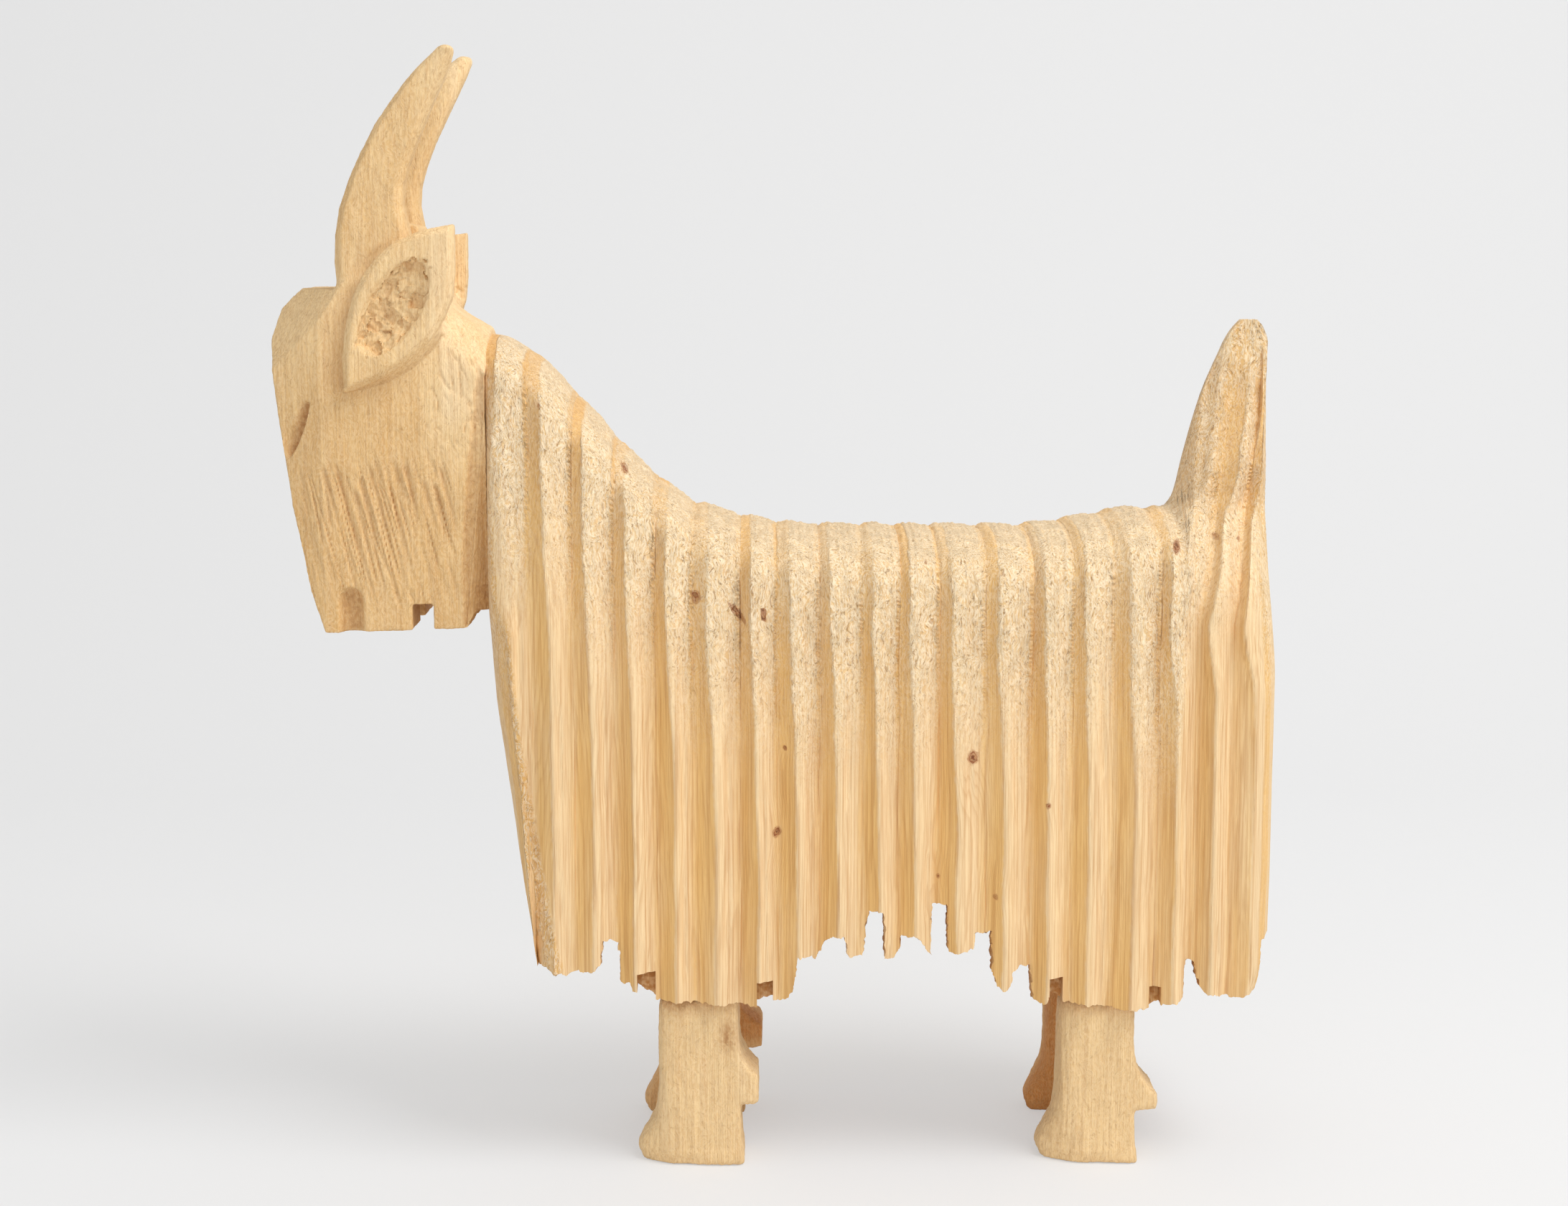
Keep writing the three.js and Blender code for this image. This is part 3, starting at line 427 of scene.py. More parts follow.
def stave(number, first, last):
    """A closed solid for one stave, before its hem and hollow are cut."""
    ridge, u = stave_columns(first, last)
    tops = column_tops(ridge, u)
    near = skin(ridge, u, tops, -1)
    far = skin(ridge, u, tops, 1)
    columns, rows = near.shape[:2]
    points = [near.reshape(-1, 3), far.reshape(-1, 3)]
    a = np.arange(columns * rows).reshape(columns, rows)
    b = a + columns * rows
    faces = grid_faces(a.T) + grid_faces(b)
    total = 2 * columns * rows

    def close(column, out, carved_below):
        nonlocal total
        if carved_below is None:
            return np.stack([a[column], b[column]])
        cap = end_cap(near[column], far[column], out, carved_below)
        points.append(cap.reshape(-1, 3))
        middle = np.arange(cap.shape[0] * rows).reshape(-1, rows) + total
        total += middle.size
        return np.concatenate([a[column][None], middle, b[column][None]])

    front = close(0, -1, NECK_FOOT if first == 0 else None)
    rear = close(-1, 1, RUMP_CARVED if last == RIDGES else None)
    faces += grid_faces(front) + grid_faces(rear[::-1])
    for row, turn in ((0, 1), (-1, -1)):
        strip = [[a[c, row], a[c + 1, row], b[c + 1, row], b[c, row]] for c in range(1, columns - 2)]
        strip.append([*front[:, row][::-1], a[1, row], b[1, row]])
        strip.append([*rear[:, row], b[-2, row], a[-2, row]])
        faces += [face[::turn] for face in strip]
    return mesh_object(f"fleece_stave_{number}", np.concatenate(points), faces)


# The hem of the fleece, as (place counted in ridges, height), lock by lock from the chest
HEM = [
    (1.14, 134), (1.36, 130), (1.64, 129), (2.46, 132), (2.58, 136),
    (2.65, 151), (3, 150), (3.04, 142), (3.08, 124), (3.32, 123), (3.36, 119), (3.48, 119),
    (3.96, 112), (6.32, 108), (6.87, 112), (7.19, 112), (7.35, 120), (7.46, 140), (7.81, 140), (7.88, 136),
    (8.11, 150), (8.22, 152), (8.56, 154), (8.67, 140), (9, 140),
    (9.09, 160), (9.18, 169), (9.59, 169), (9.64, 139), (9.91, 139), (10.04, 145),
    (10.08, 153), (10.52, 153), (10.83, 139), (10.85, 173), (11.21, 173), (11.24, 143), (11.78, 145),
    (11.8, 154), (12.17, 156), (12.21, 128), (12.31, 121), (12.48, 118), (12.61, 121),
    (12.63, 129), (12.79, 133), (13.04, 133), (13.12, 110), (13.4, 109), (13.48, 114),
    (13.88, 110), (15.46, 105), (15.89, 104.5), (16.21, 108), (16.63, 110), (16.78, 113),
    (16.8, 133), (16.92, 136), (17.05, 136), (17.14, 127), (17.27, 118),
    (17.41, 116), (17.73, 113), (18.35, 112), (18.62, 116), (18.72, 124), (18.75, 146), (19, 149),
]
BLIND_NOTCHES = [(3.48, 3.94, 130), (6.42, 6.85, 124), (13.5, 13.86, 126), (15.91, 16.2, 119)]
NOTCH_DEPTH = 16.0
CUT_PAST = 20.0
CUT_LAP = 0.05
# Notches in the hem of the chest and rump: reach in x, then (from, to, height) across the goat
END_NOTCHES = [
    ("chest", NECK_PLANE - CUT_PAST, NECK_PLANE + 44,
     [(-52, -45, 152), (-22, -14, 160), (10, 17, 150), (38, 47, 157)]),
    ("rump", RUMP - 20, RUMP + CUT_PAST, [(-47, -39, 160), (-16, -9, 168), (20, 29, 157), (49, 56, 164)]),
]
HOLLOW_ENDS = [2.25, 3.44, 6.9, 13.4, 16.24, 18.15]
HOLLOW_HALF = 54.0
PAD_INNER = 22.0
HOLLOW_TOP = 176.0
RAGGED_HALF = 260.0
LEG_INNER, LEG_OUTER, LEG_TOP = 28.0, 66.0, 112.0
POCKET_SLACK = 0.2
# Front and length of each shank
LEG_X = {
    "foreleg_left": (-75, 51), "foreleg_right": (-75, 51),
    "hindleg_left": (180.5, 47), "hindleg_right": (183.5, 47),
}


def along(place):
    whole = np.minimum(np.floor(place).astype(int), RIDGES - 1)
    return EDGES[whole] + (place - whole) * np.array(RIDGE_WIDTHS)[whole]


BOX_FACES = [(0, 1, 3, 2), (4, 6, 7, 5), (0, 4, 5, 1), (2, 3, 7, 6), (0, 2, 6, 4), (1, 5, 7, 3)]


def block(name, x0, x1, y0, y1, z0, z1):
    points = [(x, y, z) for x in (x0, x1) for y in (y0, y1) for z in (z0, z1)]
    return mesh_object(name, points, BOX_FACES)


def hem_cutter():
    """Everything below the hem, with a ragged edge where the saw tore the fibres."""
    place, height = np.array(HEM).T
    line = np.stack([along(place), height], -1)
    line = np.concatenate([[[NECK_PLANE - CUT_PAST, line[0, 1]]], line, [[RUMP + CUT_PAST, line[-1, 1]]]])
    run = np.concatenate([[0], np.cumsum(np.linalg.norm(np.diff(line, axis=0), axis=1))])
    s = np.union1d(run, np.arange(0, run[-1], HEM_STEP))
    x = np.interp(s, run, line[:, 0])
    z = np.interp(s, run, line[:, 1])
    half = np.array([0, 40, 58, 64, 68, 71, 74, 77, 80, 100.0])
    y = np.concatenate([-half[:0:-1], half])[:, None]
    live = (np.abs(x - (NECK_PLANE + RUMP) / 2) < RAGGED_HALF)[None]
    ragged_x = live * (1.1 * noise(s / 3.4, y / 6, 0, 31) + 0.5 * noise(s / 1.5, y / 3, 3, 32))
    ragged_z = live * (1.7 * noise(s / 3.6, y / 7, 0, 33) + 1.1 * noise(s / 1.5, y / 3, 3, 34))
    edge = np.stack([x + ragged_x, y + 0 * x, z + ragged_z], -1)
    floor = HEM_FLOOR - CUT_PAST
    ends = np.array([[x[-1], 0, floor], [x[0], 0, floor]]) + np.stack([0 * y, y, 0 * y], -1)
    rings = np.concatenate([edge, ends], 1)
    count = rings.shape[1]
    index = np.arange(rings.shape[0] * count).reshape(-1, count)
    looped = np.concatenate([index, index[:, :1]], 1)
    faces = grid_faces(looped.T) + [index[0][::-1].tolist(), index[-1].tolist()]
    return mesh_object("cut_hem", rings.reshape(-1, 3), faces)


def body_cutters():
    """Cutters for the hem, the hollow, the notches and the leg pockets."""
    low = HEM_FLOOR - CUT_PAST
    wide = BODY_HALF + CUT_PAST
    ends = along(np.array(HOLLOW_ENDS))
    cutters = [hem_cutter()]

    def cut(name, x0, x1, y0, y1, top):
        cutters.append(block("cut_" + name, x0, x1, y0, y1, low, top))

    for i, (x0, x1) in enumerate(zip(ends[:-1], ends[1:])):
        half = PAD_INNER if i % 2 else HOLLOW_HALF
        cut(f"hollow_{i}", x0 - CUT_LAP, x1 + CUT_LAP, -half, half, HOLLOW_TOP)
    for i, (start, stop, top) in enumerate(BLIND_NOTCHES):
        x0, x1 = along(np.array([start, stop]))
        cut(f"notch_{i}_left", x0, x1, -wide, NOTCH_DEPTH - BODY_HALF, top)
        cut(f"notch_{i}_right", x0, x1, BODY_HALF - NOTCH_DEPTH, wide, top)
    for name, x0, x1, notches in END_NOTCHES:
        for i, (y0, y1, top) in enumerate(notches):
            cut(f"{name}_{i}", x0, x1, y0, y1, top)
    for name, (x, shank) in LEG_X.items():
        y0, y1 = (-LEG_OUTER, -LEG_INNER) if name.endswith("left") else (LEG_INNER, LEG_OUTER)
        spans = np.array([x, x + shank, y0, y1]) + POCKET_SLACK * np.array([-1, 1, -1, 1])
        cut(name, *spans, LEG_TOP + POCKET_SLACK)
    return cutters


def settle(obj):
    """Replaces an object's mesh by what its modifiers make of it."""
    bpy.context.view_layer.update()
    seen = obj.evaluated_get(bpy.context.evaluated_depsgraph_get())
    made = bpy.data.meshes.new_from_object(seen)
    old = obj.data
    obj.modifiers.clear()
    obj.data = made
    bpy.data.meshes.remove(old)


def read(rows, field, width, kind=np.float32):
    """One field of a mesh's rows, as an array."""
    found = np.empty(len(rows) * width, kind)
    rows.foreach_get(field, found)
    return found.reshape(-1, width)


def points_of(obj):
    return read(obj.data.vertices, "co", 3).astype(float) / MM


def normals_of(obj):
    return read(obj.data.vertex_normals, "vector", 3).astype(float)


def set_points(obj, points):
    obj.data.vertices.foreach_set("co", (points * MM).astype(np.float32).ravel())
    obj.data.update()


def mark(obj, **values):
    """Stores a number for each point, which the material reads."""
    for name, value in values.items():
        layer = obj.data.attributes.new(name, "FLOAT", "POINT")
        layer.data.foreach_set("value", np.broadcast_to(value, len(obj.data.vertices)).astype(np.float32))


def leaning(back, z, lens):
    """Places along and across a leaning lens."""
    across, up = back - lens["back"], z - lens["z"]
    sine, cosine = np.sin(lens["lean"]), np.cos(lens["lean"])
    return across * sine + up * cosine, across * cosine - up * sine


# Knots on the left side, as (x, z, half length, half width, lean, strength), in millimetres and radians
KNOTS = [
    (-94, 446, 6, 2.4, -0.6, 0.5), (-50, 369, 6, 5, 0, 0.5), (-24, 358, 12, 3, -0.65, 0.55),
    (-8, 358, 5, 2.4, 0, 0.95), (-146, 485, 3, 2, 0, 0.4), (122, 268, 6, 4.5, 0, 0.65),
    (0, 220, 5, 3.6, 0, 0.6), (169, 238, 3, 2.2, 0, 0.5), (101, 191, 3, 2.2, 0, 0.5),
    (137, 179, 3.5, 2.6, 0, 0.4), (92, 389, 2.5, 1.8, 0, 0.4), (247, 398, 5, 3.6, 0.3, 0.8),
    (274, 403, 4, 3, 0, 0.4), (288, 402, 3, 2, 0, 0.4), (5, 274, 1.8, 1.4, 0, 0.9),
]


def knot_field(p):
    """How deep a point lies in a knot, and how far the knot pushes the rings aside."""
    x, y, z = p.T
    depth = np.zeros(len(p))
    push = np.zeros(len(p))
    left = y < 0
    wobble = 1 + 0.4 * noise(x / 3, y / 3, z / 4, 41) + 0.25 * noise(x / 1.3, y / 1.3, z / 1.8, 42)
    for place, height, long, wide, lean, strength in KNOTS:
        a, b = leaning(x, z, {"back": place, "z": height, "lean": lean})
        r = np.hypot(a / long, b / wide) / wobble
        spread = np.exp(-0.5 * (b / (2 * wide)) ** 2 - 0.5 * (a / (3 * long)) ** 2)
        depth = np.maximum(depth, left * strength * fade(r, 0.1, 1.2))
        push += left * 1.2 * wide * spread
    return depth, push


def ring_field(p, centre, push):
    """Growth rings, counted from the heart of the log that the piece was sawn from."""
    x, y, z = p.T
    bend = 3 * noise(z / 260, x / 160, 0, 51) + 0.5 * noise(z / 90, x / 30, y / 30, 52)
    r = np.hypot(x - centre[0], y - centre[1]) + bend + push + 0.012 * z
    spacing = 2.3 + 0.5 * noise(r / 25, 0, 0, 53)
    return r / spacing


def shade_smooth(obj, angle):
    obj.data.shade_smooth()
    obj.data.set_sharp_from_angle(angle=np.radians(angle))


def finish_stave(obj, number, first, last):
    """Smooth shading, and the numbers that the wood material reads, painted shade among them."""
    p = points_of(obj)
    x, y, z = p.T
    span = range(first, last + 1)
    edges = np.array([np.where(y < 0, ridge_edge(i, z, -1), ridge_edge(i, z, 1)) for i in span])
    r = np.clip((x[None] > edges).sum(0) - 1, 0, last - first - 1)
    rows = np.arange(len(p))
    left, right = edges[r, rows], edges[r + 1, rows]
    u = np.clip((x - left) / np.maximum(right - left, 1), 0, 1)
    ridge = r + first
    places = np.linspace(0, 1, 80)
    top = np.zeros(len(p))
    for each in range(first, last):
        tops = column_tops(np.full(len(places), each), places)
        top = np.where(ridge == each, np.interp(u, places, tops), top)
    crown = tail_crown(x)
    side = np.where(y < 0, -1, 1)
    crest = crest_at(ridge, z, side, top)
    skin_half = half_width(x, z, top, crown) - groove_at(z, top) * ridge_fall(u, crest, ridge, z)
    from_end = np.minimum(x - chest_front(z), rump_rear(z) - x)
    end = fade(from_end, 9, 13) * rise(np.abs(normals_of(obj)[:, 0]), 0.5, 0.75)
    buried = np.minimum(skin_half - np.abs(y), from_end - 8)
    # Painted shade inside the hollow and the notches, over their darker end grain.
    inner = rise(buried, 3, 7) * fade(z, HOLLOW_TOP + 3, HOLLOW_TOP + 8)
    flank = flank_share(x, z, side, u, crest, ridge, top)
    front = chest_tear(x, z) * (1 - end)
    torn = np.maximum(roughness_zone(z, top, x) * (1 - 0.7 * flank), 0.9 * front)
    flank = np.maximum(flank, 1.2 * front)
    on_tail = rise(x, 250, 262) * rise(z, TAIL_ROOT - 10, TAIL_ROOT + 15)
    # Painted shade on the ridges' left flanks near the back, strongest on the neck, and over the tail except
    # near its tip.
    shade = lerp(0.34, 0.06, rise(x, -110, -30)) * fade(top - z, 15, 90)
    shade = np.maximum(shade, 0.3 * on_tail) * np.minimum(flank, 1)
    tail_shade = 0.24 * on_tail * rise(TAIL_TIP - z, 8, 40)
    inner = np.maximum.reduce([inner * (1 - front), 0.22 * front, shade, tail_shade])
    flank = flank + 0.35 * on_tail
    # The ridges across the chest and rump ends are tanned the same way, partly as painted shade on their
    # flanks.
    across = end_ridges(y, z) % 1.0
    end_flank = 0.3 + 0.8 * rise(across, 0.46, 0.6) * fade(across, 0.84, 1.0)
    flank = lerp(flank, end_flank, end)
    torn = lerp(torn, 0.15 + 0.65 * rise(z, 270, 380), end)
    knot, push = knot_field(p)
    centre = EDGES[first] + heart_place[number - 1, 0], heart_place[number - 1, 1]
    mark(obj, tone=flank, torn=torn, inner=inner, knot=knot, ring=ring_field(p, centre, push))
    shade_smooth(obj, FLEECE_ANGLE)


heart_place = np.stack([chance.uniform(-130, 180, STAVES), chance.uniform(-60, 40, STAVES)], -1)


# Materials
LIGHT_GAIN = (1.12, 1.22, 1.46)
PITH_GAIN = 0.4


def feed(tree, node, inputs):
    """Links or sets the inputs of a node, named or numbered."""
    for key, value in inputs.items():
        if isinstance(value, bpy.types.NodeSocket):
            tree.links.new(value, node.inputs[key])
        else:
            node.inputs[key].default_value = value
    return node


def add_node(tree, kind, inputs, **settings):
    return feed(tree, adjust(tree.nodes.new("ShaderNode" + kind), **settings), inputs)


def wood(name, cream, tan, knot_colour, dark, grain):
    """Raw pine: rings, fibres, torn grain, knots and darker sawn faces, with painted shade in cuts and
    hollows and painted highlights and shadows on torn grain.
    """
    made = adjust(bpy.data.materials.new(name), use_nodes=True)
    tree = made.node_tree
    shader = tree.nodes["Principled BSDF"]

    def node(kind, inputs, **settings):
        return add_node(tree, kind, inputs, **settings).outputs

    def math(operation, a, b=0.0, c=0.0):
        return node("Math", {0: a, 1: b, 2: c}, operation=operation)[0]

    def times(a, b):
        return math("MULTIPLY", a, b)

    def plus(a, b):
        return math("ADD", a, b)

    def sway(value, amount):
        return times(math("SUBTRACT", value, 0.5), amount)

    def number(attribute):
        return node("Attribute", {}, attribute_name=attribute)["Fac"]

    def ramp(value, low, high, to_low=0.0, to_high=1.0):
        ends = {"From Min": low, "From Max": high, "To Min": to_low, "To Max": to_high}
        return node("MapRange", {"Value": value, **ends}, interpolation_type="SMOOTHSTEP")[0]

    def mix(share, a, b):
        return node("Mix", {0: share, 6: a, 7: b}, data_type="RGBA")[2]

    def speckle(vector, height, scale, detail, rough=0.5):
        """Noise with cells that are drawn out in height."""
        vector = node("Mapping", {"Vector": vector, "Scale": (1, 1, height)})[0]
        inputs = {"Vector": vector, "Scale": scale, "Detail": detail, "Roughness": rough}
        return node("TexNoise", inputs)["Fac"]

    place = node("TexCoord", {})["Object"]
    drift = node("TexNoise", {"Vector": place, "Scale": 70.0, "Detail": 1.0})["Color"]
    drift = node("VectorMath", {0: drift, 1: (0.5, 0.5, 0.5)}, operation="SUBTRACT")[0]
    drift = node("VectorMath", {0: drift, 3: 0.012}, operation="SCALE")[0]
    drifted = node("VectorMath", {0: place, 1: drift})[0]

    fibre = speckle(place, 0.025, 1100.0, 2.0, 0.6)
    line = speckle(place, 0.012, 520.0, 1.0)
    streak = speckle(place, 0.05, 160.0, 3.0, 0.55)
    broad = speckle(place, 0.22, 26.0, 2.0)
    tuft = speckle(drifted, 0.3, 980.0, 3.0, 0.75)
    pit = speckle(drifted, 0.3, 620.0, 3.0, 0.7)
    blot = speckle(place, 1.0, 330.0, 2.0)
    torn = number("torn")
    clean = math("SUBTRACT", 1.0, torn)
    inner = number("inner")
    knot = number("knot")
    saw = math("FRACT", plus(number("ring"), sway(streak, 0.9)))
    late = times(ramp(saw, 0.45, 0.86), ramp(saw, 1.0, 0.88))

    tone = plus(plus(number("tone"), sway(broad, 0.7)), sway(streak, 0.7))
    light = (*(min(1.0, c * gain) for c, gain in zip(cream, LIGHT_GAIN)), 1.0)
    pith = (*(PITH_GAIN * c for c in knot_colour[:3]), 1.0)
    ring_share = math("MULTIPLY_ADD", number("tone"), -0.1, 0.36)
    knot_wave = math("FRACT", plus(times(knot, 5.0), times(blot, 2.4)))
    knot_line = ramp(math("ABSOLUTE", math("SUBTRACT", knot_wave, 0.5)), 0.3, 0.05)
    colour = cream
    for share, over in (
        # The tone on the fleece and on the right legs is partly painted shade.
        (ramp(tone, -0.1, 1.1), tan),
        (ramp(tone, -0.1, -0.7), light),
        (times(times(late, ring_share), grain), dark),
        (times(clean, ramp(line, 0.5, 0.68, 0.0, 0.55 * grain)), dark),
        (ramp(fibre, 0.35, 0.62, 0.26, 0.0), dark),
        # Torn grain: pale strokes of painted highlight and tan strokes of painted shadow.
        (times(torn, ramp(tuft, 0.44, 0.57, 0.0, 0.9)), light),
        (times(torn, ramp(tuft, 0.45, 0.36, 0.0, 0.5)), tan),
        (times(torn, ramp(pit, 0.41, 0.33, 0.0, 0.52)), dark),
        (ramp(knot, 0.05, 0.6, 0.0, 0.5), dark),
        (times(ramp(knot, 0.12, 0.42), math("MULTIPLY_ADD", knot_line, 0.5, 0.4)), knot_colour),
        (times(ramp(knot, 0.3, 0.7), ramp(blot, 0.45, 0.6, 0.0, 0.75)), pith),
        # Painted shade in cuts, hollows and grooves, over darker sawn faces and a stain.
        (times(inner, ramp(blot, 0.35, 0.65, 0.95, 0.4)), dark),
    ):
        colour = mix(share, colour, over)

    relief = 0.0
    for share, height in (
        (fibre, 0.00012), (late, 0.00007), (times(clean, line), 0.0003), (times(torn, tuft), 0.0013),
        (times(torn, ramp(pit, 0.3, 0.42)), 0.0006),
    ):
        relief = math("MULTIPLY_ADD", share, height, relief)
    bump = node("Bump", {"Height": relief, "Strength": 0.9, "Distance": 1.0})[0]
    rough = ramp(fibre, 0.2, 0.8, 0.66, 0.82)
    feed(tree, shader, {"Base Color": colour, "Roughness": rough, "Normal": bump, "Specular IOR Level": 0.28})
    return made


def srgb(red, green, blue):
    """A colour as it looks on a screen, as the linear one that a shader takes."""
    c = np.array([red, green, blue]) / 255
    linear = np.where(c <= 0.04045, c / 12.92, ((c + 0.055) / 1.055) ** 2.4)
    return (*linear.tolist(), 1.0)


KNOT = srgb(146, 78, 44)
# The tan and dark colours also serve as painted shade: tan on the fleece's ridge flanks, dark in cuts and
# hollows.
fleece_wood = wood("fleece_pine", srgb(243, 214, 168), srgb(240, 196, 127), KNOT, srgb(184, 126, 66), 0.6)
plain_wood = wood("plain_pine", srgb(243, 209, 155), srgb(222, 177, 114), KNOT, srgb(172, 118, 68), 0.3)
# A shaded copy of the plain pine, for painted shade on the right legs, which stand in the body's shadow.
shaded_wood = wood("shaded_pine", srgb(248, 200, 138), srgb(226, 157, 89), KNOT, srgb(160, 98, 50), 0.3)
DOWEL_KNOT, DOWEL_DARK = srgb(140, 84, 52), srgb(160, 116, 76)
dowel_wood = wood("beech_dowel", srgb(206, 166, 118), srgb(190, 146, 100), DOWEL_KNOT, DOWEL_DARK, 1.0)


def dress(obj, material, slot, *nodes):
    obj.data.materials.clear()
    obj.data.materials.append(material)
    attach(obj, "root")
    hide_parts(*nodes)


# Fleece
cutters = body_cutters()
starts = np.concatenate([[0], np.cumsum(STAVE_RIDGES)])
for number in range(1, STAVES + 1):
    first, last = int(starts[number - 1]), int(starts[number])
    piece = stave(number, first, last)
    span = points_of(piece)[:, 0]
    for cutter in cutters:
        reach = points_of(cutter)[:, 0]
        if reach.max() > span.min() and reach.min() < span.max():
            cut = piece.modifiers.new(cutter.name, "BOOLEAN")
            adjust(cut, operation="DIFFERENCE", solver="MANIFOLD", object=cutter)
    settle(piece)
    finish_stave(piece, number, first, last)
    dress(piece, fleece_wood, "fleece_pine", f"stave_{number}")
for cutter in cutters:
    bpy.data.objects.remove(cutter)


# Head, horns, ears and legs: the solids, remeshed finely and worked over
def relax(points, edges, weight, rounds):
    """Evens out points towards their neighbours, each by its weight."""
    a, b = edges[(weight[edges] > 0).any(1)].T
    size = len(points)
    count = np.maximum(np.bincount(a, minlength=size) + np.bincount(b, minlength=size), 1)[:, None]
    for _ in range(rounds):
        total = [np.bincount(a, points[b, i], size) + np.bincount(b, points[a, i], size) for i in range(3)]
        points = points + weight[:, None] * (np.stack(total, -1) / count - points)
    return points


def blend(name, parts, voxel, fillings=()):
    """One fine skin over copies of solids, each moved a little so that they run into each other."""
    whole = bmesh.new()
    for filling in fillings:
        whole.from_mesh(filling.data)
        bpy.data.objects.remove(filling)
    for node, shift in parts:
        start = len(whole.verts)
        whole.from_mesh(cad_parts[node].data)
        whole.verts.ensure_lookup_table()
        bmesh.ops.translate(whole, verts=whole.verts[start:], vec=Vector(shift) * MM)
    data = bpy.data.meshes.new(name)
    whole.to_mesh(data)
    whole.free()
    made = new_object(name, data)
    adjust(made.modifiers.new("remesh", "REMESH"), mode="VOXEL", voxel_size=voxel * MM * COARSE)
    settle(made)
    return made


def largest_patch(skin, chosen):
    """The largest connected patch among the chosen faces."""
    left = set(np.flatnonzero(chosen).tolist())
    best = []
    while left:
        patch = [left.pop()]
        for i in patch:
            near = {face.index for edge in skin.faces[i].edges for face in edge.link_faces} & left
            left -= near
            patch += near
        best = max(best, patch, key=len)
    kept = np.zeros(len(chosen), bool)
    kept[best] = True
    return kept


def piece_of(whole, name, chosen):
    """Some faces of a skin, closed by a lip and a cone where they were joined to the rest."""
    cut = bmesh.new()
    cut.from_mesh(whole.data)
    cut.faces.ensure_lookup_table()
    below = {v: v.co - v.normal * JOINT_LIP * MM for v in cut.verts}
    bmesh.ops.delete(cut, geom=[f for f, keep in zip(cut.faces[:], chosen) if not keep], context="FACES")
    lips, tips = {}, {}
    for rim in [e.link_loops[0] for e in cut.edges if e.is_boundary]:
        start, end = rim.vert, rim.link_loop_next.vert
        side = 1 if start.co.y > 0 else -1
        if side not in tips:
            back, half, z = JOINT_INSIDE
            tips[side] = cut.verts.new(Vector((FACE_FRONT + back, side * half, z)) * MM)
        for v in (start, end):
            if v not in lips:
                lips[v] = cut.verts.new(below[v])
        cut.faces.new((end, start, lips[start], lips[end]))
        cut.faces.new((lips[end], lips[start], tips[side]))
    data = bpy.data.meshes.new(name)
    cut.to_mesh(data)
    cut.free()
    return new_object(name, data)


def valleys(across, along, seed, width):
    """Thin broken lines, 1 along their bottoms."""
    line = np.abs(noise(across, seed * 1.7, along, seed))
    return fade(line, 0, width) * rise(noise(across * 0.7, 3.3, along * 1.6, seed + 1), -0.35, 0.25)


def fuzz(p):
    """Raised fibres and the faint lines of the saw, all over."""
    x, y, z = p.T
    lines = 0.13 * noise(x / 1.7, y / 1.7, z / 60, 61)
    fibres = 0.2 * noise(x / 2.0, y / 2.0, z / 4.6, 62)
    facets = 0.4 * noise(x / 13, y / 11, z / 24, 63)
    return facets + lines + fibres


ear_edge = profile([(484, 50), (493, 50), (520, 50.5), (545, 56), (565, 66), (580, 80), (595, 119)])
ear_hem = profile([
    (50, 496), (56, 499), (64, 502), (74, 507), (84, 513),
    (93, 520), (102, 529), (109, 540), (113, 552), (116, 570),
])
ear_skirt = profile([(50, 3), (60, 6), (87, 9), (105, 8), (114, 2)])
EAR_HOLLOW = {"back": 82.0, "z": 545.0, "long": 34.0, "wide": 14.5, "lean": 0.58}
RIGHT_EAR = (-4.0, -5.0)
EYE = {"back": 18.0, "z": 470.0, "long": 20.5, "wide": 4.8, "lean": 0.377}
STAIN_X, STAIN_Z = -31.0, 86.0
SINK = 0.8
STROKES = 12
stroke_place = 34 + 7.4 * np.arange(STROKES) + 1.8 * chance.uniform(-1, 1, STROKES)
stroke_top = 444 + 11 * chance.uniform(-1, 1, STROKES)
stroke_length = 60 + 36 * chance.uniform(-1, 1, STROKES)
stroke_depth = chance.uniform(0.5, 2.1, STROKES)


def ear_bites(back, z):
    """Depth of the gouge bites in an ear's hollow."""
    a, b = leaning(back, z, EAR_HOLLOW)
    edge = np.hypot(a / EAR_HOLLOW["long"], b / EAR_HOLLOW["wide"]) + 0.2 * noise(a / 5, 0, b / 5, 67)
    inside = fade(edge, 0.93, 1.0)
    steps = chips(a / 8.5, b / 6.5) + 0.4 * chips(a / 3.6 + 9, b / 3.2)
    bites = 3.2 * steps + 0.5 * noise(back / 1.9, 0, z / 1.9, 66)
    deep = 4.0 * np.exp(-0.5 * (np.hypot(back - 95, z - 570) / 5.5) ** 2)
    return inside * (bites + deep)


def eye_cuts(back, z):
    """Depth of an eye's slit, deepest along its rear, and of the scoop in front of it."""
    a, b = leaning(back, z, EYE)
    half = np.maximum(EYE["wide"] * np.sqrt(np.clip(1 - (a / EYE["long"]) ** 2, 0, 1)), 0.05)
    slit = rise(b, -half, 0.5 * half) * fade(b, 0.75 * half, half)
    slit = slit * rise(EYE["long"] - np.abs(a), 0, 6)
    scoop = np.exp(-((a + 9) / 9) ** 2) * rise(-b, -1, 2) * fade(-b, 4, 11)
    return slit, scoop


def cheek_strokes(across, z):
    """Long straight cuts down a cheek, deepest near their upper ends."""
    depth = np.zeros(len(z))
    for place, top, length, deep in zip(stroke_place, stroke_top, stroke_length, stroke_depth):
        down = top - z
        cut = np.exp(-((across - place) / 1.3) ** 2) * rise(down, 0, 5) * fade(down, 10, length)
        depth = np.maximum(depth, deep * cut)
    return depth


